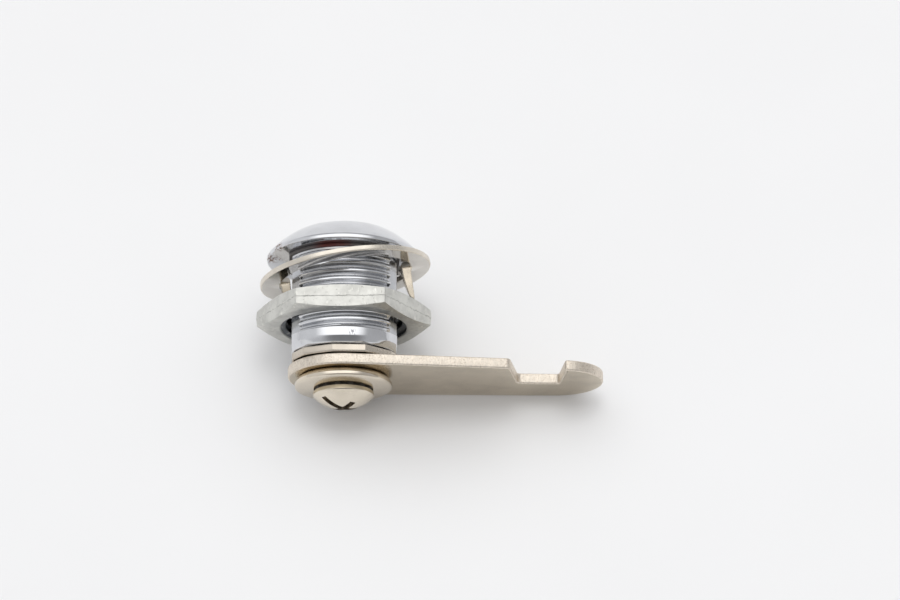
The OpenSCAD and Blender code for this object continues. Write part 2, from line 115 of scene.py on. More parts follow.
def rounded(corners: Sequence[Flat], radii: Sequence[float], steps: int = 5) -> list[Flat]:
    """Rounds the corners of a closed outline.

    Args:
        corners: The corners, in order.
        radii: One radius for each corner; 0 keeps it sharp.
        steps: Number of chords in each rounding.

    Returns:
        The rounded outline.
    """
    made: list[Flat] = []
    for i, (corner, radius) in enumerate(zip(corners, radii)):
        if radius <= 0:
            made.append(corner)
            continue
        here = Vector(corner)
        back = (Vector(corners[i - 1]) - here).normalized()
        ahead = (Vector(corners[(i + 1) % len(corners)]) - here).normalized()
        half = math.acos(max(-1.0, min(1.0, back.dot(ahead)))) / 2
        centre = here + (back + ahead).normalized() * radius / math.sin(half)
        first = here + back * radius / math.tan(half) - centre
        last = here + ahead * radius / math.tan(half) - centre
        start = math.atan2(first.y, first.x)
        sweep = (math.atan2(last.y, last.x) - start + 3 * math.pi) % TURN - math.pi
        for k in range(steps + 1):
            a = start + sweep * k / steps
            made.append((centre.x + radius * math.cos(a), centre.y + radius * math.sin(a)))
    return made


def inset(outline: Sequence[Flat], depth: float) -> list[Flat]:
    """Moves a counter-clockwise outline inwards by a depth, or outwards if it is negative.

    Args:
        outline: Closed outline, counter-clockwise.
        depth: Distance to move each side.

    Returns:
        An outline with as many points.
    """
    if depth == 0:
        return list(outline)
    made: list[Flat] = []
    count = len(outline)
    for i in range(count):
        before, here, after = Vector(outline[i - 1]), Vector(outline[i]), Vector(outline[(i + 1) % count])
        one, two = (here - before).normalized(), (after - here).normalized()
        left_one, left_two = Vector((-one.y, one.x)), Vector((-two.y, two.x))
        share = max(0.3, 1 + left_one.dot(left_two))
        moved = here + (left_one + left_two) * depth / share
        made.append((moved.x, moved.y))
    return made


def circle(radius: float, count: int) -> list[Flat]:
    """Gives a circle round the axis, counter-clockwise."""
    return [polar(360 * i / count, radius) for i in range(count)]


def at_station(outline: Sequence[Flat], station: float) -> Ring:
    """Stands an outline up at a station along the axis."""
    return [(x, station, z) for x, z in outline]


# ---------- Meshes ----------


@dataclass
class Shell:
    """The points and faces of one piece, in millimetres."""

    points: Ring = field(default_factory=list)
    faces: list[tuple[int, ...]] = field(default_factory=list)
    zones: list[int] = field(default_factory=list)

    def ring(self, points: Sequence[Point]) -> list[int]:
        """Adds points and gives their numbers."""
        first = len(self.points)
        self.points.extend(points)
        return list(range(first, len(self.points)))

    def face(self, corners: tuple[int, ...], zone: int = 0) -> None:
        """Adds one face in a finish zone."""
        self.faces.append(corners)
        self.zones.append(zone)

    def bridge(self, one: Sequence[int], two: Sequence[int], zone: int = 0) -> None:
        """Joins two closed rings of the same count with quads.

        Args:
            one: Point numbers of the first ring.
            two: Point numbers of the second ring.
            zone: Finish zone of the faces.
        """
        count = len(one)
        for i in range(count):
            k = (i + 1) % count
            self.face((one[i], one[k], two[k], two[i]), zone)

    def skin(self, rings: Sequence[Sequence[Point]], zone: int = 0, closed: bool = False) -> list[list[int]]:
        """Joins a row of closed rings.

        Args:
            rings: The rings, in order.
            zone: Finish zone of the faces.
            closed: Whether the last ring joins the first.

        Returns:
            The point numbers of each ring.
        """
        rows = [self.ring(r) for r in rings]
        for one, two in zip(rows, rows[1:] + rows[:1] if closed else rows[1:]):
            self.bridge(one, two, zone)
        return rows

    def fan(self, row: Sequence[int], tip: Point, zone: int = 0) -> None:
        """Closes a ring with triangles to one point."""
        top = self.ring([tip])[0]
        for i in range(len(row)):
            self.face((row[i], row[(i + 1) % len(row)], top), zone)

    def lid(self, rows: Sequence[Sequence[int]], zone: int = 0) -> None:
        """Fills the flat area between an outer ring and the rings of its holes.

        Args:
            rows: Point numbers of the outer ring and then of each hole's.
            zone: Finish zone of the faces.
        """
        numbers = [n for row in rows for n in row]
        loops = [[Vector((self.points[n][0], self.points[n][2], 0)) for n in row] for row in rows]
        for triangle in tessellate_polygon(loops):
            self.face(tuple(numbers[k] for k in triangle), zone)

    def add(self, other: "Shell") -> None:
        """Takes over another shell's points and faces.

        Args:
            other: The shell to take over.
        """
        first = len(self.points)
        self.points.extend(other.points)
        self.faces.extend(tuple(n + first for n in face) for face in other.faces)
        self.zones.extend(other.zones)

    def place(self, matrix: Matrix) -> "Shell":
        """Moves every point by a matrix in millimetres."""
        self.points = [tuple(matrix @ Vector(p)) for p in self.points]
        return self

    def mesh(self, name: str, finishes: Sequence[bpy.types.Material]) -> bpy.types.Mesh:
        """Makes the Blender mesh, in metres, with its doubled points merged and its faces turned out.

        Args:
            name: Name of the mesh.
            finishes: One material for each zone.

        Returns:
            The mesh.
        """
        mesh = bpy.data.meshes.new(name)
        mesh.from_pydata([tuple(c * MM for c in p) for p in self.points], [], self.faces)
        for finish in finishes:
            mesh.materials.append(finish)
        mesh.polygons.foreach_set("material_index", self.zones)
        work = bmesh.new()
        work.from_mesh(mesh)
        bmesh.ops.remove_doubles(work, verts=work.verts, dist=WELD)
        bmesh.ops.dissolve_degenerate(work, edges=work.edges, dist=WELD / 10)
        bmesh.ops.recalc_face_normals(work, faces=work.faces)
        work.to_mesh(mesh)
        work.free()
        return mesh


def shade(mesh: bpy.types.Mesh, angle: float = CREASE) -> None:
    """Shades a mesh smooth except over edges sharper than an angle in degrees."""
    mesh.polygons.foreach_set("use_smooth", [True] * len(mesh.polygons))
    mesh.set_sharp_from_angle(angle=math.radians(angle))
    mesh.update()


def show(mesh: bpy.types.Mesh, angle: float = CREASE) -> bpy.types.Object:
    """Puts a mesh in the scene as an object of its own name.

    Args:
        mesh: The mesh.
        angle: Angle in degrees over which its edges stay sharp.

    Returns:
        The object.
    """
    shade(mesh, angle)
    made = bpy.data.objects.new(mesh.name, mesh)
    bpy.context.scene.collection.objects.link(made)
    return made


class Cut(Enum):
    """How a tool mesh works on a piece."""

    AWAY = "DIFFERENCE"
    ON = "UNION"


def carve(piece: bpy.types.Object, tool: bpy.types.Mesh, how: Cut) -> None:
    """Cuts a tool mesh out of a piece, or joins it on.

    Args:
        piece: Object whose mesh is changed.
        tool: Mesh of the tool; it is used up.
        how: Whether it is cut away or joined on.
    """
    helper = bpy.data.objects.new("tool", tool)
    bpy.context.scene.collection.objects.link(helper)
    step = piece.modifiers.new("carve", "BOOLEAN")
    step.operation = how.value
    step.solver = "EXACT"
    step.object = helper
    graph = bpy.context.evaluated_depsgraph_get()
    made = bpy.data.meshes.new_from_object(piece.evaluated_get(graph))
    piece.modifiers.clear()
    old = piece.data
    made.name = old.name + "_cut"
    piece.data = made
    bpy.data.objects.remove(helper)
    bpy.data.meshes.remove(old)
    shade(made)


@dataclass
class Plate:
    """A flat blank with rounded edges.

    The edge rows are [depth inside the outline, station] pairs from the front lid to the back lid.
    """

    outline: list[Flat]
    holes: list[list[Flat]]
    edge: list[Flat]
    hole_edge: list[Flat]
    guard: float = 0.12

    def shell(self) -> Shell:
        """Builds the blank.

        Returns:
            The shell: zone 0 is its faces and zone 1 its edges.
        """
        made = Shell()
        lids: tuple[list[list[int]], list[list[int]]] = ([], [])
        loops = [(self.outline, self.edge, 1)] + [(h, self.hole_edge, -1) for h in self.holes]
        for outline, edge, way in loops:
            rows = [made.ring(at_station(inset(outline, way * d), y)) for d, y in edge]
            for one, two in zip(rows, rows[1:]):
                made.bridge(one, two, 1)
            for end, k in ((0, 0), (1, -1)):
                depth, station = edge[k]
                inner = made.ring(at_station(inset(outline, way * (depth + self.guard)), station))
                made.bridge(rows[k], inner, 0)
                lids[end].append(inner)
        for lid in lids:
            made.lid(lid, 0)
        return made


def edge_rows(front: float, back: float, front_round: float, back_round: float, steps: int = 4) -> list[Flat]:
    """Gives the [depth, station] rows of a sheared edge with rounded corners.

    Args:
        front: Station of the front face.
        back: Station of the back face.
        front_round: Radius at the front.
        back_round: Radius at the back.
        steps: Rows in each rounding.

    Returns:
        The rows from the front face to the back face.
    """
    rows: list[Flat] = []
    for k in range(steps + 1):
        a = math.radians(90 * k / steps)
        rows.append((front_round * (1 - math.sin(a)), front + front_round * (1 - math.cos(a))))
    for k in range(steps + 1):
        a = math.radians(90 * k / steps)
        rows.append((back_round * (1 - math.cos(a)), back - back_round * (1 - math.sin(a))))
    return rows


def lathe(profile: Sequence[Flat], count: int) -> list[Ring]:
    """Turns [radius, station] points round the axis and gives the rings."""
    turns = [TURN * i / count for i in range(count)]
    return [[(r * math.cos(a), y, r * math.sin(a)) for a in turns] for r, y in profile]


@dataclass(frozen=True)
class Thread:
    """A right-hand thread round the axis."""

    pitch: float
    crest_r: float
    root_r: float
    start: float
    end: float
    # Station of a crest straight above the axis
    crest_at: float

    # Half of one pitch: [share of the pitch from the crest, share of the depth]
    FORM = (
        (0.0, 1.0), (0.08, 1.0), (0.12, 0.93), (0.17, 0.77), (0.26, 0.44),
        (0.33, 0.18), (0.38, 0.05), (0.43, 0.0), (0.5, 0.0),
    )

    def radius(self, angle: float, station: float) -> float:
        """Gives the thread's radius at a place.

        Args:
            angle: Angle in degrees.
            station: Station along the axis.

        Returns:
            The radius, between the root's and the crest's.
        """
        share = ((station - self.crest_at) / self.pitch + (angle - 90) / 360) % 1
        share = min(share, 1 - share)
        for (s0, d0), (s1, d1) in zip(self.FORM, self.FORM[1:]):
            if share <= s1:
                depth = d0 + (d1 - d0) * (share - s0) / (s1 - s0)
                return self.root_r + (self.crest_r - self.root_r) * depth
        return self.root_r

    def shell(self, angles: Sequence[float], radius: Callable[[float, float, float], float], zone: int = 0) -> Shell:
        """Winds the rows of the thread.

        Args:
            angles: Angles of the columns in degrees, rising, all below 360.
            radius: Gives the radius from the angle, the thread's own radius there and the station.
            zone: Finish zone of the faces.

        Returns:
            An open shell from start to end.
        """
        made = Shell()
        shares = [s for s, _depth in self.FORM[:-1]] + [1 - s for s, _depth in reversed(self.FORM[1:])]
        rows = len(shares)
        first = math.floor((self.start - self.crest_at) / self.pitch) - 1
        last_turn = math.ceil((self.end - self.crest_at) / self.pitch) + 2
        grid: list[list[int]] = []
        for k in range(rows * first, rows * last_turn):
            row: Ring = []
            for a in angles:
                y = self.crest_at + self.pitch * (k // rows + shares[k % rows] - (a - 90) / 360)
                y = min(self.end, max(self.start, y))
                row.append(stand(a, radius(a, self.radius(a, y), y), y))
            grid.append(made.ring(row))
        last = len(angles) - 1
        for k in range(len(grid) - 1):
            for j in range(last):
                made.face((grid[k][j], grid[k][j + 1], grid[k + 1][j + 1], grid[k + 1][j]), zone)
            if k >= rows:
                made.face((grid[k][last], grid[k - rows][0], grid[k - rows + 1][0], grid[k + 1][last]), zone)
        return made


# ---------- Finishes ----------


def put(tree: bpy.types.NodeTree, target: bpy.types.NodeSocket, value: object) -> None:
    """Gives a socket a number, a colour or another socket.

    Args:
        tree: Node tree that holds the socket.
        target: The socket.
        value: Its number or colour, or the socket that feeds it.
    """
    if isinstance(value, bpy.types.NodeSocket):
        tree.links.new(value, target)
    elif isinstance(value, tuple) and target.type == "RGBA":
        target.default_value = (*value, 1)
    else:
        target.default_value = value


def mixed(tree: bpy.types.NodeTree, share: object, one: object, two: object) -> bpy.types.NodeSocket:
    """Mixes two colours by a share.

    Args:
        tree: Node tree to work in.
        share: Share of the second colour.
        one: First colour.
        two: Second colour.

    Returns:
        The mixed colour.
    """
    node = tree.nodes.new("ShaderNodeMix")
    node.data_type = "RGBA"
    put(tree, node.inputs["Factor"], share)
    first, second = [s for s in node.inputs if s.type == "RGBA"]
    put(tree, first, one)
    put(tree, second, two)
    return [s for s in node.outputs if s.type == "RGBA"][0]


class Graph:
    """Builds the nodes of one material."""

    def __init__(self, name: str) -> None:
        """Starts an empty material with a Principled shader.

        Args:
            name: Name of the material.
        """
        self.material = bpy.data.materials.new(name)
        self.material.use_nodes = True
        self.nodes = self.material.node_tree.nodes
        self.links = self.material.node_tree.links
        self.shader = self.nodes["Principled BSDF"]
        self.place = self.nodes.new("ShaderNodeTexCoord").outputs["Object"]

    def link(self, source: bpy.types.NodeSocket, target: bpy.types.NodeSocket) -> None:
        """Joins two sockets."""
        self.links.new(source, target)

    def put(self, target: bpy.types.NodeSocket, value: object) -> None:
        """Gives a socket a number, a colour or another socket."""
        put(self.material.node_tree, target, value)

    def sum(self, kind: str, one: object, two: object = 0.0, clamp: bool = False) -> bpy.types.NodeSocket:
        """Adds a Math node.

        Args:
            kind: Operation of the node.
            one: First number or socket.
            two: Second number or socket.
            clamp: Whether the result stays within 0 and 1.

        Returns:
            The result.
        """
        node = self.nodes.new("ShaderNodeMath")
        node.operation = kind
        node.use_clamp = clamp
        self.put(node.inputs[0], one)
        self.put(node.inputs[1], two)
        return node.outputs[0]

    def stretch(self, scale: Point, offset: Point = (0, 0, 0)) -> bpy.types.NodeSocket:
        """Gives the place on the piece, stretched.

        Args:
            scale: Stretch along each axis.
            offset: Shift along each axis, in metres.

        Returns:
            The stretched place.
        """
        node = self.nodes.new("ShaderNodeMapping")
        self.link(self.place, node.inputs["Vector"])
        node.inputs["Scale"].default_value = scale
        node.inputs["Location"].default_value = offset
        return node.outputs[0]

    def noise(
        self,
        size_mm: float,
        detail: float = 3,
        roughness: float = 0.5,
        scale: Point = (1, 1, 1),
        offset: Point = (0, 0, 0),
    ) -> bpy.types.NodeSocket:
        """Adds a cloudy pattern.

        Args:
            size_mm: Size of its largest patches.
            detail: Octaves of finer patches.
            roughness: Share that each octave keeps.
            scale: Stretch along each axis; under 1 draws it out.
            offset: Shift of the pattern, in metres.

        Returns:
            The pattern, from 0 to 1.
        """
        node = self.nodes.new("ShaderNodeTexNoise")
        self.link(self.stretch(scale, offset), node.inputs["Vector"])
        node.inputs["Scale"].default_value = 1 / (size_mm * MM)
        node.inputs["Detail"].default_value = detail
        node.inputs["Roughness"].default_value = roughness
        return node.outputs["Fac"]

    def span(
        self, value: object, low: float, high: float, to_low: float = 0, to_high: float = 1
    ) -> bpy.types.NodeSocket:
        """Maps a value from one span to another, kept inside it.

        Args:
            value: Number or socket.
            low: Value that maps to to_low.
            high: Value that maps to to_high.
            to_low: Result at low.
            to_high: Result at high.

        Returns:
            The mapped value.
        """
        node = self.nodes.new("ShaderNodeMapRange")
        node.interpolation_type = "SMOOTHSTEP"
        ends = {"Value": value, "From Min": low, "From Max": high, "To Min": to_low, "To Max": to_high}
        for name, number in ends.items():
            self.put(node.inputs[name], number)
        return node.outputs[0]

    def blend(self, share: object, one: object, two: object) -> bpy.types.NodeSocket:
        """Mixes two colours by a share."""
        return mixed(self.material.node_tree, share, one, two)

    def axes(self) -> tuple[bpy.types.NodeSocket, bpy.types.NodeSocket, bpy.types.NodeSocket]:
        """Gives X, Y and Z of the place on the piece, in metres."""
        node = self.nodes.new("ShaderNodeSeparateXYZ")
        self.link(self.place, node.inputs[0])
        return node.outputs[0], node.outputs[1], node.outputs[2]

    def near(self, centre: Point, radius_mm: float) -> bpy.types.NodeSocket:
        """Marks the surroundings of a point.

        Args:
            centre: The point, in millimetres.
            radius_mm: Distance at which the mark has faded.

        Returns:
            1 near the point, falling to 0 at the radius.
        """
        node = self.nodes.new("ShaderNodeVectorMath")
        node.operation = "DISTANCE"
        self.link(self.place, node.inputs[0])
        node.inputs[1].default_value = tuple(c * MM for c in centre)
        return self.span(node.outputs["Value"], radius_mm * MM, radius_mm * MM * 0.3)

    def relief(self, height: bpy.types.NodeSocket, depth_mm: float, strength: float = 1.0) -> None:
        """Adds a bump of a depth on top of those there already.

        Args:
            height: Pattern from 0 to 1.
            depth_mm: Height of the bump where the pattern is 1.
            strength: Share of the bump that shows.
        """
        node = self.nodes.new("ShaderNodeBump")
        node.inputs["Strength"].default_value = strength
        node.inputs["Distance"].default_value = depth_mm * MM
        self.link(height, node.inputs["Height"])
        old = self.shader.inputs["Normal"].links
        if old:
            self.link(old[0].from_socket, node.inputs["Normal"])
        self.link(node.outputs["Normal"], self.shader.inputs["Normal"])

    def finish(self, colour: object, roughness: object, metallic: float = 1.0) -> bpy.types.Material:
        """Sets the shader's main values.

        Args:
            colour: Colour or socket.
            roughness: Number or socket.
            metallic: Share of metal.

        Returns:
            The finished material.
        """
        self.put(self.shader.inputs["Base Color"], colour)
        self.put(self.shader.inputs["Roughness"], roughness)
        self.shader.inputs["Metallic"].default_value = metallic
        return self.material


@dataclass(frozen=True)
class Chrome:
    """Bright chrome on a die casting: bluish, a little wavy, with fine scratches."""

    name: str
    colour: Colour = (0.70, 0.708, 0.73)
    haze: float = 0.08
    # [place, radius] in millimetres of spots where the plate has chipped, and of dents in it
    nicks: tuple[tuple[Point, float], ...] = ()
    scars: tuple[tuple[Point, float], ...] = ()
    # Radii between which painted shade sets into the thread's grooves and they grow dull, and the stations of the
    # thread
    grooves: Flat = (9.46, 9.05)
    threaded: Flat = (0.6, 13.2)
    # Strength of the painted shade in the thread's grooves, which also roughens them
    dull: float = 0.0
    # Radii between which the grooves' painted shade and dullness set in, so that the bores stay bright
    flats_end: Flat = (8.6, 8.75)

    SCRATCH = (0.5, 0.51, 0.55)
    # Painted shade for the thread's grooves
    GROOVE_SHADE = (0.33, 0.34, 0.36)
    CHIP = (0.16, 0.075, 0.035)
    DENT = (0.13, 0.13, 0.15)

    def material(self) -> bpy.types.Material:
        """Builds the material.

        Returns:
            The material.
        """
        g = Graph(self.name)
        cloud = g.noise(2.2, 3)
        fine = g.noise(0.35, 4, 0.6)
        scratch = g.span(g.noise(0.5, 2, 0.5, (3.2, 0.16, 1.1), (0.3, 0, 0)), 0.66, 0.7)
        worn = g.blend(g.span(cloud, 0.3, 0.7), self.colour, tuple(c * 0.93 for c in self.colour))
        rough = g.sum("ADD", g.span(fine, 0.3, 0.8, self.haze * 0.7, self.haze * 1.6), g.sum("MULTIPLY", scratch, 0.1))
        colour: object = g.blend(g.sum("MULTIPLY", scratch, 0.25), worn, self.SCRATCH)
        # Paints shade into the thread's grooves and makes them rougher
        if self.dull:
            deep = self.in_grooves(g)
            share = g.sum("MULTIPLY", deep, g.span(cloud, 0.25, 0.6, self.dull * 0.75, self.dull))
            colour = g.blend(share, colour, self.GROOVE_SHADE)
            rough = g.sum("ADD", rough, g.sum("MULTIPLY", deep, 0.12), True)
        speck = g.span(g.noise(0.3, 3, 0.65, (1, 1, 1), (0, 0.4, 0)), 0.5, 0.55)
        for place, radius in self.nicks:
            share = g.sum("MULTIPLY", speck, g.near(place, radius), True)
            colour = g.blend(share, colour, self.CHIP)
            rough = g.sum("ADD", rough, g.sum("MULTIPLY", share, 0.4), True)
        for place, radius in self.scars:
            line = g.span(g.noise(0.2, 3, 0.6, (1.3, 0.35, 1), (0.2, 0, 0.1)), 0.53, 0.6)
            share = g.sum("MULTIPLY", line, g.near(place, radius), True)
            colour = g.blend(share, colour, self.DENT)
            g.relief(share, 0.008)
        g.relief(g.noise(1.6, 2), 0.004)
        g.relief(fine, 0.0012)
        g.relief(scratch, 0.0015)
        return g.finish(colour, rough)

    def in_grooves(self, g: Graph) -> bpy.types.NodeSocket:
        """Marks the thread's grooves.

        Args:
            g: The material's nodes.

        Returns:
            1 in the grooves, 0 on the crests and everywhere else.
        """
        x, y, z = g.axes()
        radius = g.sum("SQRT", g.sum("ADD", g.sum("MULTIPLY", x, x), g.sum("MULTIPLY", z, z)))
        low = g.span(radius, self.grooves[0] * MM, self.grooves[1] * MM)
        outer = g.span(radius, self.flats_end[0] * MM, self.flats_end[1] * MM)
        first = g.span(y, (self.threaded[0] - 0.2) * MM, (self.threaded[0] + 0.2) * MM)
        last = g.span(y, (self.threaded[1] + 0.1) * MM, (self.threaded[1] - 0.1) * MM)
        return g.sum("MULTIPLY", g.sum("MULTIPLY", low, outer), g.sum("MULTIPLY", first, last))


@dataclass(frozen=True)
class Nickel:
    """Warm nickel plate on pressed steel, tumbled to a soft shine."""

    name: str
    colour: Colour = (0.70, 0.665, 0.595)
    haze: float = 0.2
    grain_mm: float = 0.25
    lift: float = 0.0025
    smear: float = 0.1
    # [place, radius] in millimetres of spots painted darker, as painted shade and a painted dark reflection
    shaded_spots: tuple[tuple[Point, float], ...] = ()

    PIT = (0.3, 0.26, 0.2)
    # Painted shade and dark reflection for those spots
    PAINTED_SHADE = (0.2, 0.175, 0.125)

    def material(self) -> bpy.types.Material:
        """Builds the material.

        Returns:
            The material.
        """
        g = Graph(self.name)
        cloud = g.noise(3.5, 4, 0.55)
        grain = g.noise(self.grain_mm, 3, 0.6)
        dull = tuple(c * (1 - self.smear) for c in self.colour)
        tumbled = g.sum("ADD", g.sum("MULTIPLY", cloud, 0.6), g.sum("MULTIPLY", grain, 0.4))
        rough = g.span(tumbled, 0.3, 0.7, self.haze * 0.75, self.haze * 1.35)
        pit = g.span(g.noise(0.45, 2, 0.5, (1, 1, 1), (0.7, 0, 0)), 0.72, 0.76)
        plate = g.blend(g.span(cloud, 0.35, 0.68), self.colour, dull)
        colour = g.blend(g.sum("MULTIPLY", pit, 0.5), plate, self.PIT)
        # Paints shade and a dark reflection into the spots
        for place, radius in self.shaded_spots:
            colour = g.blend(g.near(place, radius), colour, self.PAINTED_SHADE)
        g.relief(g.noise(1.2, 2), 0.006)
        g.relief(grain, self.lift)
        return g.finish(colour, rough)


@dataclass(frozen=True)
class ShearedEdge:
    """Edge of a blank as the die leaves it: bright, torn and speckled."""

    name: str
    colour: Colour = (0.86, 0.79, 0.69)
    haze: float = 0.42

    TORN = (0.42, 0.33, 0.24)

    def material(self) -> bpy.types.Material:
        """Builds the material.

        Returns:
            The material.
        """
        g = Graph(self.name)
        grit = g.noise(0.16, 4, 0.7)
        draw = g.noise(0.3, 3, 0.6, (1, 0.35, 1))
        pits = g.span(grit, 0.34, 0.46)
        clean = g.blend(g.span(draw, 0.35, 0.7), tuple(c * 0.86 for c in self.colour), self.colour)
        colour = g.blend(pits, self.TORN, clean)
        rough = g.span(grit, 0.3, 0.7, self.haze * 1.3, self.haze * 0.8)
        g.relief(draw, 0.02)
        g.relief(grit, 0.012)
        return g.finish(colour, rough)


@dataclass(frozen=True)
class CastZinc:
    """Bare zinc die casting: matte and light grey with a cloudy skin."""

    name: str
    colour: Colour = (0.655, 0.652, 0.615)
    haze: float = 0.38
    # Station of the parting line, and its half width
    seam: Flat = (9.2, 0.1)

    FLOW = (0.79, 0.785, 0.74)
    DIRT = (0.23, 0.22, 0.2)
    LINE = (0.3, 0.3, 0.28)

    def material(self) -> bpy.types.Material:
        """Builds the material.

        Returns:
            The material.
        """
        g = Graph(self.name)
        cloud = g.noise(2.6, 5, 0.6)
        flow = g.noise(0.8, 4, 0.6, (1, 0.5, 1), (0, 0.2, 0))
        grain = g.noise(0.14, 3, 0.6)
        tone = g.blend(g.span(cloud, 0.32, 0.68), tuple(c * 0.78 for c in self.colour), self.colour)
        colour = g.blend(g.span(flow, 0.56, 0.74), tone, self.FLOW)
        dirt = g.span(g.noise(0.4, 3, 0.6, (1, 1, 1), (0.5, 0.5, 0)), 0.63, 0.7)
        colour = g.blend(g.sum("MULTIPLY", dirt, 0.6), colour, self.DIRT)
        _x, y, _z = g.axes()
        ragged = g.sum("MULTIPLY", g.sum("SUBTRACT", g.noise(0.6, 3, 0.7, (1, 0.2, 1), (0.9, 0, 0)), 0.5), 0.9 * MM)
        away = g.sum("ABSOLUTE", g.sum("SUBTRACT", g.sum("ADD", y, ragged), self.seam[0] * MM))
        patchy = g.span(g.noise(1.1, 2, 0.5, (1, 0.2, 1), (0, 0, 0.4)), 0.42, 0.6, 0.05, 0.7)
        line = g.sum("MULTIPLY", g.span(away, self.seam[1] * MM, self.seam[1] * 0.4 * MM), patchy)
        colour = g.blend(line, colour, self.LINE)
        rough = g.span(flow, 0.3, 0.7, self.haze * 0.85, self.haze * 1.25)
        g.relief(cloud, 0.035)
        g.relief(flow, 0.02)
        g.relief(grain, 0.011)
        return g.finish(colour, rough, 0.9)


@dataclass(frozen=True)
class Matte:
    """A dull, non-metallic surface: the seal's dark red-brown rubber, or the painted shade in a recess."""

    name: str
    colour: Colour = (0.045, 0.04, 0.04)
    warm: Colour = (0.10, 0.014, 0.009)
    patch_mm: float = 3.5
    dullness: float = 0.5
    # Place and radius in millimetres that the warm tone keeps to
    spot: tuple[Point, float] | None = None

    def material(self) -> bpy.types.Material:
        """Builds the material.

        Returns:
            The material.
        """
        g = Graph(self.name)
        cloud = g.noise(self.patch_mm, 3)
        grit = g.noise(0.2, 3, 0.6)
        g.relief(grit, 0.012)
        rough = g.span(grit, 0.3, 0.7, self.dullness * 0.85, self.dullness * 1.2)
        share = g.span(cloud, 0.42, 0.62)
        if self.spot:
            share = g.sum("MULTIPLY", g.span(cloud, 0.3, 0.55), g.near(*self.spot))
        return g.finish(g.blend(share, self.colour, self.warm), rough, 0.0)


@dataclass(frozen=True)
class PlainMetal:
    """A small inner piece's metal, drawn or pressed, with fine lines along one axis."""

    name: str
    colour: Colour
    haze: float = 0.28
    lines: Point = (1, 1, 0.15)
    metallic: float = 1.0

    def material(self) -> bpy.types.Material:
        """Builds the material.

        Returns:
            The material.
        """
        g = Graph(self.name)
        drawn = g.noise(0.12, 3, 0.6, self.lines)
        cloud = g.noise(1.3, 3)
        colour = g.blend(g.span(cloud, 0.3, 0.7), self.colour, tuple(c * 0.78 for c in self.colour))
        g.relief(drawn, 0.003)
        return g.finish(colour, g.span(drawn, 0.3, 0.7, self.haze * 0.8, self.haze * 1.3), self.metallic)


# ---------- The lock's pieces ----------


class Body(Enum):
    """The bodies that move as one."""

    BARREL = "barrel"
    NUT = "nut"
    SPUR = "spur"
    PLUG = "plug"


def fit(piece: bpy.types.Object, body: Body, slot: str, *nodes: str) -> bpy.types.Object:
    """Lets a finished piece ride on its body and stand for its solids.

    Args:
        piece: The piece, in place.
        body: Body that it rides on.
        slot: Name of the finish's slot; not used.
        nodes: Solids that it stands for.

    Returns:
        The piece.
    """
    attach(piece, body.value)
    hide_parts(*nodes)
    mesh = piece.data
    log.info("%s: %d points, %d faces, on body %s", piece.name, len(mesh.vertices), len(mesh.polygons), body.value)
    return piece


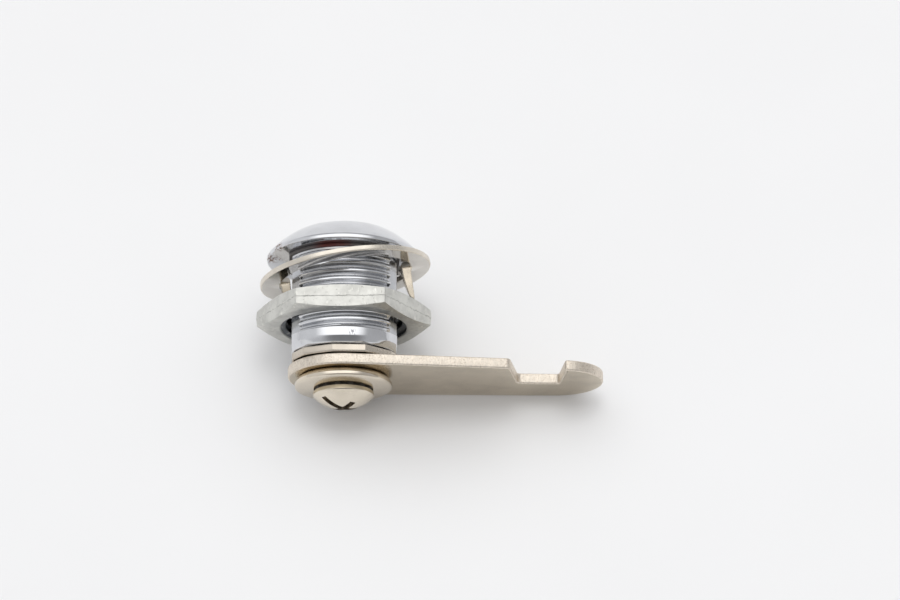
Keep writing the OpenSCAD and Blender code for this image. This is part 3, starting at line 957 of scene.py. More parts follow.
@dataclass
class Casting:
    """The die-cast head and threaded double-D barrel."""

    head_r: float = 11.9
    head_h: float = 4.2
    rim_h: float = 0.6
    face_r: float = 7.5
    dome_station: float = 9.4556
    dome_r: float = 15.5796
    cap_seat_r: float = 7.05
    cap_seat: float = -2.55
    bore_r: float = 6.1
    neck_r: float = 9.0
    land_r: float = 8.85
    collar_r: float = 9.3
    flats: float = 16.0
    length: float = 15.7
    thread: Thread = Thread(1.27, 9.5, 8.9, 0.75, 13.21, 4.303)
    # Distance from the middle plane at which the thread starts to run out, and at which it has gone
    run_out: Flat = (6.95, 7.35)
    run_in: float = 0.4
    # Outer and inner radius, first and last angle, and far station of the stop lug
    lug_r: Flat = (8.68, 6.78)
    lug_span: Flat = (-62.0, -34.0)
    lug_end: float = 16.95
    # Half width, half height and first station of the wafers' chambers
    chamber: Point = (3.35, 7.0, 0.95)
    # How far a tool reaches past the face that it cuts or joins
    overlap: float = 0.5

    # [growth of the neck's radius, station] of its rows, and the same for the collar and the barrel's end
    NECK = ((0.12, 0.0), (0.035, 0.035), (0.0, 0.12), (0.0, 0.5), (-0.03, 0.58), (-0.14, 0.7))
    COLLAR = (
        (-0.06, 13.225), (-0.015, 13.25), (0, 13.3), (0, 13.5), (0, 14.0), (0, 14.45), (-0.015, 14.58), (-0.06, 14.7),
        (-0.2, 14.95), (-0.38, 15.25), (-0.55, 15.5), (-0.72, 15.63), (-0.92, 15.69), (-1.1, 15.7), (-1.3, 15.7),
    )

    def columns(self) -> list[float]:
        """Gives the columns' angles.

        Returns:
            Angles in degrees, rising: one at each section's corner, and more where the thread runs out.
        """
        corners = [math.degrees(math.acos(self.flats / 2 / r)) for r in (self.land_r, self.neck_r, self.collar_r)]
        ends = [math.degrees(math.acos(x / self.thread.crest_r)) for x in reversed(self.run_out)]
        knots = [0.0] + corners + ends + [90.0]
        quarter: list[float] = []
        for low, high, steps in zip(knots, knots[1:], (6, 2, 3, 6, 8, 17)):
            quarter += [low + (high - low) * i / steps for i in range(steps)]
        half = quarter + [90.0] + [180 - a for a in reversed(quarter[1:])]
        return half + [180 + a for a in half]

    def section(self, radius: float, station: float, flats: bool = True) -> Ring:
        """Gives one ring of the barrel, or of the round head.

        Args:
            radius: Its radius.
            station: Its station along the axis.
            flats: Whether the barrel's flats cut it.

        Returns:
            The ring.
        """
        made: Ring = []
        for a in self.columns():
            limit = self.flats / 2 / max(TINY, abs(math.cos(math.radians(a))))
            made.append(stand(a, min(radius, limit) if flats else radius, station))
        return made

    def threaded(self, angle: float, radius: float, station: float) -> float:
        """Runs the thread out into a plain land beside each flat, and in behind the neck.

        Args:
            angle: Angle in degrees.
            radius: The thread's own radius there.
            station: Station along the axis.

        Returns:
            The barrel's radius there.
        """
        side = abs(math.cos(math.radians(angle)))
        kept = 1 - smooth(self.thread.crest_r * side, *self.run_out)
        kept *= smooth(station, self.thread.start, self.thread.start + self.run_in)
        merged = self.collar_r + 0.5 * max(0.0, self.thread.end - station)
        return min(self.land_r + (min(radius, merged) - self.land_r) * kept, self.flats / 2 / max(TINY, side))

    def thread_end(self, station: float) -> Ring:
        """Gives the ring that closes the thread at one of its ends."""
        return [stand(a, self.threaded(a, self.thread.radius(a, station), station), station) for a in self.columns()]

    def head_profile(self) -> list[Flat]:
        """Gives the head's outline.

        Returns:
            Its [radius, station] points from the cap's seat to the underside.
        """
        seat_r, seat = self.cap_seat_r, self.cap_seat
        points: list[Flat] = [(self.bore_r, seat), (seat_r - 0.05, seat), (seat_r, seat)]
        points += [(seat_r, seat - 0.05), (seat_r, 0.16 - self.head_h)]
        points += arc((seat_r + 0.12, 0.12 - self.head_h), 0.12, 180, 270, 3)
        points += [(self.face_r - 0.1, -self.head_h), (self.face_r - 0.02, 0.004 - self.head_h)]
        steps = 34
        low, high = math.asin(self.face_r / self.dome_r), math.asin(self.head_r / self.dome_r)
        for i in range(1, steps):
            a = low + (high - low) * i / steps
            points.append((self.dome_r * math.sin(a), self.dome_station - self.dome_r * math.cos(a)))
        points += [(self.head_r - 0.05, 0.01 - self.rim_h), (self.head_r, 0.13 - self.rim_h)]
        points += [(self.head_r, -0.2), (self.head_r, -0.14)]
        points += arc((self.head_r - 0.14, -0.14), 0.14, 0, 90, 4)[1:]
        under = (self.head_r - 0.22, self.head_r - 0.4, self.neck_r + 0.8, self.neck_r + 0.35)
        return points + [(r, 0) for r in under]

    def lug(self) -> bpy.types.Mesh:
        """Builds the stop lug on the barrel's end.

        Returns:
            Its mesh, to be joined on.
        """
        first, last = self.lug_span
        outer = arc((0, 0), self.lug_r[0], first, last, 8)
        inner = arc((0, 0), self.lug_r[1], last, first, 8)
        blank = Plate(outer + inner, [], edge_rows(self.length - self.overlap, self.lug_end, 0.0, 0.15, 2), [], 0.05)
        return blank.shell().mesh("lug", [])

    def chambers(self) -> bpy.types.Mesh:
        """Builds the block that clears the wafers' chambers.

        Returns:
            Its mesh, to be cut away.
        """
        x, z, start = self.chamber
        block = Plate([(x, -z), (x, z), (-x, z), (-x, -z)], [], [(0, start), (0, self.length + 0.6)], [], 0.05)
        return block.shell().mesh("chambers", [])

    def build(self, finish: bpy.types.Material) -> bpy.types.Object:
        """Builds the whole casting.

        Args:
            finish: Its chrome.

        Returns:
            The piece.
        """
        made = Shell()
        head = [self.section(r, y, False) for r, y in self.head_profile()]
        neck = [self.section(self.neck_r + d, y) for d, y in self.NECK]
        made.skin(head + neck + [self.thread_end(self.thread.start)])
        made.add(self.thread.shell(self.columns(), self.threaded))
        collar = [self.section(self.collar_r + d, y) for d, y in self.COLLAR]
        bore_rows = ((0.25, self.length), (0.15, self.length), (0, self.length - 0.15), (0, self.cap_seat))
        bore = [self.section(self.bore_r + d, y, False) for d, y in bore_rows]
        made.skin([self.thread_end(self.thread.end)] + collar + bore)
        piece = show(made.mesh("head_and_barrel", [finish]))
        carve(piece, self.chambers(), Cut.AWAY)
        carve(piece, self.lug(), Cut.ON)
        return fit(piece, Body.BARREL, "body_chrome", "lock_body")


@dataclass
class Gasket:
    """The thin seal round the neck under the head."""

    neck_r: float = 9.0
    half_flats: float = 8.0
    thick: float = 0.5
    # Width up to the bulged edge, and the bulge
    flat_w: float = 0.36
    bulge: float = 0.14

    def build(self, finish: bpy.types.Material) -> bpy.types.Object:
        """Builds the ring with a bulged outer edge.

        Args:
            finish: Its rubber.

        Returns:
            The piece.
        """
        made = Shell()
        rows = [(0.01, 0.02), (0.01, self.thick - 0.02), (0.06, self.thick), (self.flat_w, self.thick)]
        for a in (math.radians(d) for d in (30, 60, 90, 120, 150)):
            rows.append((self.flat_w + self.bulge * math.sin(a), self.thick / 2 + self.thick / 2 * math.cos(a)))
        rows += [(self.flat_w, 0.0), (0.06, 0.0)]
        rings: list[Ring] = []
        for grow, y in rows:
            r, flat = self.neck_r + grow, self.half_flats + grow
            corner = math.degrees(math.acos(flat / r))
            quarter = [corner * i / 5 for i in range(5)] + [corner + (90 - corner) * i / 24 for i in range(25)]
            half = quarter + [180 - a for a in reversed(quarter[1:-1])]
            ring: Ring = []
            for a in half + [180 + a for a in half]:
                ring.append(stand(a, min(r, flat / max(TINY, abs(math.cos(math.radians(a))))), y))
            rings.append(ring)
        made.skin(rings, 0, True)
        return fit(show(made.mesh("head_gasket", [finish]), 50), Body.BARREL, "seal_rubber", "head_seal")


@dataclass
class SpurWasher:
    """The loose washer with two bent prongs, leaning on the head's rim."""

    radius: float = 13.25
    hole_r: float = 10.2
    thick: float = 0.8
    root: float = 2.6
    tip: float = 0.5
    prong_in: float = 8.65
    length: float = 5.6
    tilt: float = 8.7
    lean: float = 9.0
    head_r: float = 11.9
    shift: Point = (0.0, 0.05, 0.55)

    # [inner radius, its station, outer radius, its station] of each row of a prong, bend first
    ROWS = (
        (8.65, 0.2, 10.7, 0.4), (8.65, 0.45, 10.4, 0.76), (8.65, 0.75, 10.16, 0.92), (8.66, 1.15, 10.06, 1.25),
        (8.71, 1.8, 10.05, 1.9), (8.8, 2.6, 10.05, 2.65), (8.93, 3.4, 10.05, 3.45), (9.1, 4.2, 10.05, 4.35),
        (9.27, 4.85, 10.05, 5.15), (9.4, 5.15, 10.03, 5.48), (9.5, 5.25, 9.98, 5.6),
    )

    def blank(self) -> Shell:
        """Builds the ring with the two tabs that the prongs grow from.

        Returns:
            Its shell, flat on the head.
        """
        half = self.root / 2
        hole: list[Flat] = []
        open_a = math.degrees(math.asin((half + 0.5) / self.hole_r))
        tab = [polar(open_a, self.hole_r), (self.prong_in + 1.0, half), (self.prong_in + 0.1, half)]
        tab = rounded([(x, -z) for x, z in reversed(tab)] + tab, [0, 0.35, 0.1, 0.1, 0.35, 0], 4)
        side = tab + arc((0, 0), self.hole_r, open_a, 180 - open_a, 56)[1:-1]
        for flip in (1, -1):
            hole += [(x * flip, z * flip) for x, z in side]
        edge = edge_rows(0, self.thick, 0.1, 0.2)
        return Plate(circle(self.radius, 160), [hole], edge, edge_rows(0, self.thick, 0.08, 0.12, 3), 0.1).shell()

    def prong(self, flip: int) -> Shell:
        """Builds one prong: a strip that leaves the tab in a bend and narrows to its tip.

        Args:
            flip: 1 for the prong on the +X side, -1 for the other.

        Returns:
            Its shell.
        """
        rows: list[Ring] = []
        for x0, y0, x1, y1 in self.ROWS:
            share = max(0.0, (y0 + y1) / 2 - self.thick) / (self.length - self.thick)
            half = (self.root + (self.tip - self.root) * share) / 2
            soft = min(0.12, half * 0.35)
            cut = soft / math.dist((x0, y0), (x1, y1))
            section = ((cut, -half), (1 - cut, -half), (1, soft - half), (1, half - soft))
            section += tuple((1 - u, -z) for u, z in section)
            rows.append([(flip * (x0 + (x1 - x0) * u), y0 + (y1 - y0) * u, flip * z) for u, z in section])
        made = Shell()
        numbers = made.skin(rows, 2)
        for row in (numbers[0], numbers[-1]):
            corners = [made.points[n] for n in row]
            made.fan(row, tuple(sum(p[k] for p in corners) / len(corners) for k in range(3)), 2)
        return made

    def build(self, sheet: bpy.types.Material, edge: bpy.types.Material, bent: bpy.types.Material) -> bpy.types.Object:
        """Builds the washer flat on the head and leans it.

        Args:
            sheet: Finish of its faces.
            edge: Finish of its edges.
            bent: Finish of its prongs.

        Returns:
            The piece.
        """
        a = math.radians(self.lean)
        rest = Vector((-self.head_r * math.cos(a), 0, -self.head_r * math.sin(a)))
        lean = Matrix.Rotation(math.radians(self.tilt), 4, Vector((-math.sin(a), 0, math.cos(a))))
        stand = Matrix.Translation(rest) @ lean @ Matrix.Translation(Vector(self.shift) - rest)
        finishes = [sheet, edge, bent]
        piece = show(self.blank().place(stand).mesh("panel_spur_washer", finishes))
        for flip in (1, -1):
            carve(piece, self.prong(flip).place(stand).mesh("prong", finishes), Cut.ON)
        return fit(piece, Body.SPUR, "nickel_sheet", "spur_washer")


@dataclass
class Nut:
    """The die-cast hex nut on the barrel."""

    flats: float = 23.4
    thick: float = 3.4
    front: float = 7.4
    turn: float = 4.0
    slope: float = 17.0
    corner_round: float = 0.25
    crest_r: float = 8.98
    root_r: float = 9.66
    barrel_thread: Thread = Casting.thread
    count: int = 240
    # Depth of each face's corner inside the hexagon, front and back, and the flat face's own inset
    eased: Flat = (0.07, 0.11)
    face_in: float = 0.1
    # Share of the thickness at which the parting line lies, and the height of its waves
    seam_at: float = 0.53
    seam_wave: float = 0.035
    # Depth of the mouth at both ends of the thread, and the length over which the thread fades there
    mouth_h: float = 0.16
    fade: float = 0.4

    # [growth of the hole's radius, station] of each mouth, from the thread to the face
    MOUTH = ((0.0, 0.16), (0.07, 0.06), (0.12, 0.02), (0.2, 0.0), (0.4, 0.0))
    # [station, depth inside the hexagon] of the sides before the parting line, on it and behind it
    FRONT_SIDE = ((0.0, 0.07), (0.3, 0.06), (0.9, 0.035))
    SEAM = ((-0.13, 0.0), (-0.06, -0.01), (-0.02, 0.006), (0.02, 0.026), (0.07, 0.03), (0.13, 0.032))
    # Shares of the chamfer at which its rings lie
    CLIMB = (0.3, 0.75, 0.95)

    def reach(self, angle: float, depth: float = 0.0) -> float:
        """Gives the radius of the hexagon with its rounded corners.

        Args:
            angle: Angle in degrees.
            depth: How far its sides are moved in.

        Returns:
            The radius.
        """
        apothem = self.flats / 2 - depth
        off = abs((angle - 90 + 30) % 60 - 30)
        far = (apothem - self.corner_round) / math.cos(math.radians(30))
        limit = math.degrees(math.atan((apothem - self.corner_round) * math.tan(math.radians(30)) / apothem))
        if off <= limit:
            return apothem / math.cos(math.radians(off))
        d = math.radians(30 - off)
        return far * math.cos(d) + math.sqrt(max(0.0, self.corner_round ** 2 - (far * math.sin(d)) ** 2))

    def angles(self) -> list[float]:
        """Gives the columns' angles.

        Returns:
            Angles in degrees, rising, closer together at the six corners.
        """
        steps = self.count // 12
        sector = [30 * (i / steps) ** 1.6 for i in range(steps)]
        sector += [60 - a for a in [30.0] + sector[:0:-1]]
        return [60 * k + a for k in range(6) for a in sector]

    def ring(self, radius: Callable[[float], float], station: Callable[[float], float]) -> Ring:
        """Makes one ring from a radius and a station for each angle."""
        return [stand(a, radius(a), self.front + station(a)) for a in self.angles()]

    def rim(self, grow: float, station: float) -> Ring:
        """Makes one round ring at the hole."""
        return self.ring(lambda a: self.root_r + grow, lambda a: station)

    def side(self, station: float, depth: float, wave: float = 0.0) -> Ring:
        """Makes one ring on the six sides, kept between both chamfers.

        Args:
            station: Station behind the front face.
            depth: Depth inside the hexagon.
            wave: Height of the ring's waves along the axis, as at a parting line.

        Returns:
            The ring.
        """
        slope = math.tan(math.radians(self.slope))

        def place(a: float) -> float:
            """Gives the ring's station at an angle."""
            low = max(0.0, (self.reach(a, depth) - self.face_r()) * slope)
            ripple = math.sin(a * 0.31) + 0.6 * math.sin(a * 0.83 + 1) + 0.4 * math.sin(a * 1.9 + 2)
            return min(self.thick - low, max(low, station + wave * ripple))

        return self.ring(lambda a: self.reach(a, depth), place)

    def face_r(self) -> float:
        """Gives the radius of the two flat faces."""
        return self.flats / 2 - self.face_in

    def chamfer(self, share: float, depth: float, back: bool) -> Ring:
        """Makes one ring on the chamfer of a face.

        Args:
            share: How far up the chamfer it lies.
            depth: Depth of the face's corner inside the hexagon.
            back: Whether it is the back face.

        Returns:
            The ring.
        """
        slope = math.tan(math.radians(self.slope))

        def climb(a: float) -> float:
            """Gives how far the ring lies outside the flat face at an angle."""
            return (self.reach(a, depth) - self.face_r()) * share

        if back:
            return self.ring(lambda a: self.face_r() + climb(a), lambda a: self.thick - climb(a) * slope)
        return self.ring(lambda a: self.face_r() + climb(a), lambda a: climb(a) * slope)

    def build(self, finish: bpy.types.Material, bore: bpy.types.Material) -> bpy.types.Object:
        """Builds the nut with its thread, its chamfers and its parting line.

        Args:
            finish: Finish of its outside.
            bore: Finish of its thread.

        Returns:
            The piece.
        """
        made = Shell()
        mid = self.thick * self.seam_at
        flat = self.face_r()
        before, behind = self.eased
        rings = [self.rim(grow, y) for grow, y in self.MOUTH]
        rings += [self.ring(lambda a: flat - 0.25, lambda a: 0.0), self.ring(lambda a: flat - 0.05, lambda a: 0.004)]
        rings += [self.chamfer(share, before, False) for share in self.CLIMB]
        rings += [self.side(y, d) for y, d in (*self.FRONT_SIDE, (mid - 0.3, 0.01))]
        rings += [self.side(mid + y, d, self.seam_wave) for y, d in self.SEAM]
        rings += [self.side(y, d) for y, d in ((mid + 0.5, 0.05), (self.thick - 0.4, 0.09), (self.thick, behind))]
        rings += [self.chamfer(share, behind, True) for share in reversed(self.CLIMB)]
        rings.append(self.ring(lambda a: flat - 0.05, lambda a: self.thick - 0.004))
        rings.append(self.ring(lambda a: flat - 0.25, lambda a: self.thick))
        rings += [self.rim(grow, self.thick - y) for grow, y in reversed(self.MOUTH)]
        made.skin(rings)
        own = self.barrel_thread
        in_step = own.crest_at + own.pitch * (0.5 + self.turn / 360)
        start, end = self.front + self.mouth_h, self.front + self.thick - self.mouth_h
        thread = Thread(own.pitch, self.crest_r, self.root_r, start, end, in_step)

        def cut(_angle: float, radius: float, station: float) -> float:
            """Runs the thread out at both mouths."""
            kept = smooth(station, start, start + self.fade) * (1 - smooth(station, end - self.fade, end))
            return self.root_r + (radius - self.root_r) * kept

        made.add(thread.shell(self.angles(), cut, 1))
        made.place(Matrix.Rotation(math.radians(self.turn), 4, "Y"))
        return fit(show(made.mesh("clamp_nut", [finish, bore]), 26), Body.NUT, "nut_zinc", "hex_nut")


@dataclass
class FacePlate:
    """The pressed cap with the key slot on the front of the plug."""

    radius: float = 6.95
    wall: float = 0.35
    front: float = -4.2
    inside: float = -3.6
    rim: float = -2.6
    slot_w: float = 2.4
    slot_h: float = 8.4

    def build(self, finish: bpy.types.Material) -> bpy.types.Object:
        """Builds the cap from one round blank and its slot.

        Args:
            finish: Its chrome.

        Returns:
            The piece.
        """
        r = self.slot_w / 2
        straight = self.slot_h / 2 - r
        slot = arc((0, straight), r, 0, 180, 16) + arc((0, -straight), r, 180, 360, 16)
        bends = [math.radians(a) for a in range(0, 91, 15)]
        edge = [(0.35 - 0.35 * math.sin(a), self.front + 0.3 * (1 - math.cos(a))) for a in bends]
        edge += [(0.0, self.rim - 0.06), (0.06, self.rim), (self.wall - 0.05, self.rim)]
        edge += [(self.wall, self.rim - 0.06), (self.wall, self.inside)]
        hole = [(0.16 * (1 - math.sin(a)), self.front + 0.16 * (1 - math.cos(a))) for a in bends] + [(0.0, self.inside)]
        plate = Plate(circle(self.radius, 144), [slot], edge, hole, 0.15)
        return fit(show(plate.shell().mesh("face_plate", [finish, finish])), Body.PLUG, "cap_chrome", "face_cap")


@dataclass
class Blank:
    """A blank on the plug's square tail."""

    tail: float = 7.1
    # Rounding of all edges of the square hole
    hole_round: float = 0.05

    def square(self) -> list[Flat]:
        """Gives the square hole's outline, counter-clockwise, with small corner radii."""
        h = self.tail / 2
        return rounded([(h, -h), (h, h), (-h, h), (-h, -h)], [0.12] * 4, 3)


@dataclass
class TurnStop(Blank):
    """The flat-sided stop washer with the notch that rides over the lug."""

    front: float = 15.86
    back: float = 17.03
    radius: float = 9.4
    flats: float = 15.8
    notch_r: float = 6.55
    notch_from: float = 207.5
    notch_to: float = -33.5
    # Rounding of the front and the back edge
    rounds: Flat = (0.22, 0.24)

    # [angle, share of the radius] of the blank's corners
    CORNERS = (
        (8, 1.0), (48, 0.99), (78, 0.965), (109, 1.0), (142, 0.96), (172, 1.0),
        *((a, 1.0) for a in range(210, 336, 25)),
    )

    def clipped(self) -> list[Flat]:
        """Cuts the blank's two sides flat.

        Returns:
            Its corners, counter-clockwise.
        """
        side = self.flats / 2
        points = [polar(a, self.radius * share) for a, share in self.CORNERS]
        for way in (1, -1):
            kept: list[Flat] = []
            for one, two in zip(points, points[1:] + points[:1]):
                if way * one[0] <= side:
                    kept.append(one)
                if (way * one[0] - side) * (way * two[0] - side) < 0:
                    share = (way * side - one[0]) / (two[0] - one[0])
                    kept.append((way * side, one[1] + (two[1] - one[1]) * share))
            points = kept
        return points

    def edge_at(self, points: Sequence[Flat], angle: float) -> Flat:
        """Gives the point of a convex outline at an angle.

        Args:
            points: The outline, counter-clockwise.
            angle: Angle in degrees.

        Returns:
            The point.
        """
        way = Vector(polar(angle, 1))
        reach = [self.radius]
        for one, two in zip(points, list(points[1:]) + [points[0]]):
            side = Vector(two) - Vector(one)
            normal = Vector((side.y, -side.x))
            if way.dot(normal) > TINY:
                reach.append(Vector(one).dot(normal) / way.dot(normal))
        return polar(angle, min(reach))

    def outline(self) -> list[Flat]:
        """Gives the washer's outline.

        Returns:
            The outline, counter-clockwise, with each corner a little rounded.
        """
        points = self.clipped()
        turned = sorted(((math.degrees(math.atan2(z, x)) - self.notch_to) % 360, (x, z)) for x, z in points)
        kept = [p for a, p in turned if 0 < a < self.notch_from - self.notch_to]
        corners = [self.edge_at(points, self.notch_to)] + kept + [self.edge_at(points, self.notch_from)]
        notch = arc((0, 0), self.notch_r, self.notch_from, 360 + self.notch_to, 40)
        return rounded(corners, [0.25] + [0.2] * len(kept) + [0.25], 4) + notch

    def build(self, sheet: bpy.types.Material, edge: bpy.types.Material) -> bpy.types.Object:
        """Builds the stop washer.

        Args:
            sheet: Finish of its faces.
            edge: Finish of its edges.

        Returns:
            The piece.
        """
        rows = edge_rows(self.front, self.back, *self.rounds)
        hole_rows = edge_rows(self.front, self.back, self.hole_round, self.hole_round, 2)
        plate = Plate(self.outline(), [self.square()], rows, hole_rows)
        return fit(show(plate.shell().mesh("turn_stop", [sheet, edge])), Body.PLUG, "nickel_sheet", "stop_washer")


@dataclass
class Cam(Blank):
    """The hooked cam with its notch."""

    front: float = 17.15
    back: float = 18.8
    base_r: float = 8.5
    nose: Flat = (-33.0, -1.0)
    nose_r: float = 6.95
    notch_w: float = 6.3
    notch_floor: float = 6.6
    hook: float = 6.8
    near_lean: float = 13.0
    tip_at: float = 94.0
    arc_from: float = 100.0
    # Rounding of the front and the back edge
    rounds: Flat = (0.22, 0.26)

    def tangent(self, side: int) -> tuple[Flat, Flat]:
        """Gives where a line above (1) or below (-1) touches the base and the nose."""
        way = math.degrees(math.atan2(self.nose[1], self.nose[0]))
        a = way - side * math.degrees(math.acos((self.base_r - self.nose_r) / math.hypot(*self.nose)))
        return polar(a, self.base_r), self.on_nose(a)

    def on_nose(self, angle: float) -> Flat:
        """Gives the point of the nose at an angle in degrees."""
        return arc(self.nose, self.nose_r, angle, angle, 1)[0]

    def outline(self) -> list[Flat]:
        """Gives the cam's outline.

        Returns:
            The outline, counter-clockwise: the notch, the nose and the round end.
        """
        top, bottom = self.tangent(1), self.tangent(-1)
        floor_z = self.nose[1] - self.nose_r + self.notch_floor
        far_x = self.nose[0] - self.nose_r + self.hook
        near_x = far_x + self.notch_w
        slope = (top[1][1] - top[0][1]) / (top[1][0] - top[0][0])
        rise = top[0][1] + slope * (near_x - top[0][0]) - floor_z
        lip_x = near_x + rise * math.tan(math.radians(self.near_lean))
        lip = (lip_x, top[0][1] + slope * (lip_x - top[0][0]))
        floor = [(near_x, floor_z), (far_x, floor_z)]
        corners = [top[0], lip, *floor, self.on_nose(self.tip_at), self.on_nose(self.arc_from)]
        notch = rounded(corners, [0, 0.9, 0.7, 0.5, 0.4, 0], 6)
        end = math.degrees(math.atan2(bottom[1][1] - self.nose[1], bottom[1][0] - self.nose[0])) % 360
        nose = arc(self.nose, self.nose_r, self.arc_from, end, 48)[1:]
        first = math.degrees(math.atan2(bottom[0][1], bottom[0][0]))
        last = math.degrees(math.atan2(top[0][1], top[0][0]))
        return notch + nose + arc((0, 0), self.base_r, first, last, 64)[:-1]

    def build(self, sheet: bpy.types.Material, edge: bpy.types.Material) -> bpy.types.Object:
        """Builds the cam.

        Args:
            sheet: Finish of its faces.
            edge: Finish of its edges.

        Returns:
            The piece.
        """
        rows = edge_rows(self.front, self.back, *self.rounds, 5)
        hole_rows = edge_rows(self.front, self.back, self.hole_round, self.hole_round, 2)
        plate = Plate(self.outline(), [self.square()], rows, hole_rows, 0.2)
        return fit(show(plate.shell().mesh("hooked_cam", [sheet, edge])), Body.PLUG, "cam_nickel", "cam")


@dataclass
class PlainWasher:
    """The thick round washer on the cam, crowned on its rear face."""

    radius: float = 7.45
    hole_r: float = 2.7
    front: float = 18.8
    back: float = 20.65
    count: int = 128

    # [depth inside the outside radius, depth below the rear face] of the crowned face, outside first
    CROWN = (
        (0.0, 1.0), (0.0, 0.88), (0.01, 0.7), (0.03, 0.56), (0.07, 0.45), (0.14, 0.38), (0.24, 0.335), (0.4, 0.3),
        (0.85, 0.25), (1.25, 0.2), (1.75, 0.13), (2.25, 0.065), (2.5, 0.03), (2.7, 0.015), (2.9, 0.0), (3.15, 0.0),
    )
    # [depth inside the outside radius, height over the front face] of the front edge, inside first
    FRONT_EDGE = ((0.95, 0), (0.82, 0.01), (0.6, 0.12), (0.36, 0.32), (0.17, 0.54), (0.05, 0.77))

    def build(self, finish: bpy.types.Material) -> bpy.types.Object:
        """Builds the washer.

        Args:
            finish: Its nickel.

        Returns:
            The piece.
        """
        r, low, high = self.radius, self.front, self.back
        profile = [(self.hole_r, low + 0.05), (self.hole_r + 0.05, low)]
        profile += [(r - inside, low + above) for inside, above in self.FRONT_EDGE]
        profile += [(r - inside, high - below) for inside, below in self.CROWN]
        profile += [(self.hole_r + 0.15, high), (self.hole_r + 0.05, high - 0.03), (self.hole_r, high - 0.1)]
        made = Shell()
        made.skin(lathe(profile, self.count), 0, True)
        return fit(show(made.mesh("plain_washer", [finish])), Body.PLUG, "nickel_sheet", "flat_washer")


@dataclass
class ToothedWasher:
    """The thin washer with outside teeth, pressed flat under the screw's head."""

    root_r: float = 4.25
    tip_r: float = 4.55
    hole_r: float = 2.7
    front: float = 20.65
    back: float = 20.95
    teeth: int = 14
    # [share of a tooth's step, whether at its tip] of a tooth's corners
    TOOTH = ((-0.34, False), (-0.2, True), (0.2, True), (0.34, False))

    def outline(self) -> list[Flat]:
        """Gives the washer's outline.

        Returns:
            The outline, counter-clockwise, tooth by tooth.
        """
        step = 360 / self.teeth
        corners = [(i + share, tip) for i in range(self.teeth) for share, tip in self.TOOTH]
        return [polar(turn * step, self.tip_r if tip else self.root_r) for turn, tip in corners]

    def build(self, finish: bpy.types.Material) -> bpy.types.Object:
        """Builds the washer.

        Args:
            finish: Its steel, near black as painted shade under the screw's head.

        Returns:
            The piece.
        """
        rows = edge_rows(self.front, self.back, 0.03, 0.03, 2)
        plate = Plate(self.outline(), [circle(self.hole_r, 64)], rows, rows, 0.06)
        piece = show(plate.shell().mesh("toothed_ring", [finish, finish]))
        return fit(piece, Body.PLUG, "tooth_steel", "toothed_washer")


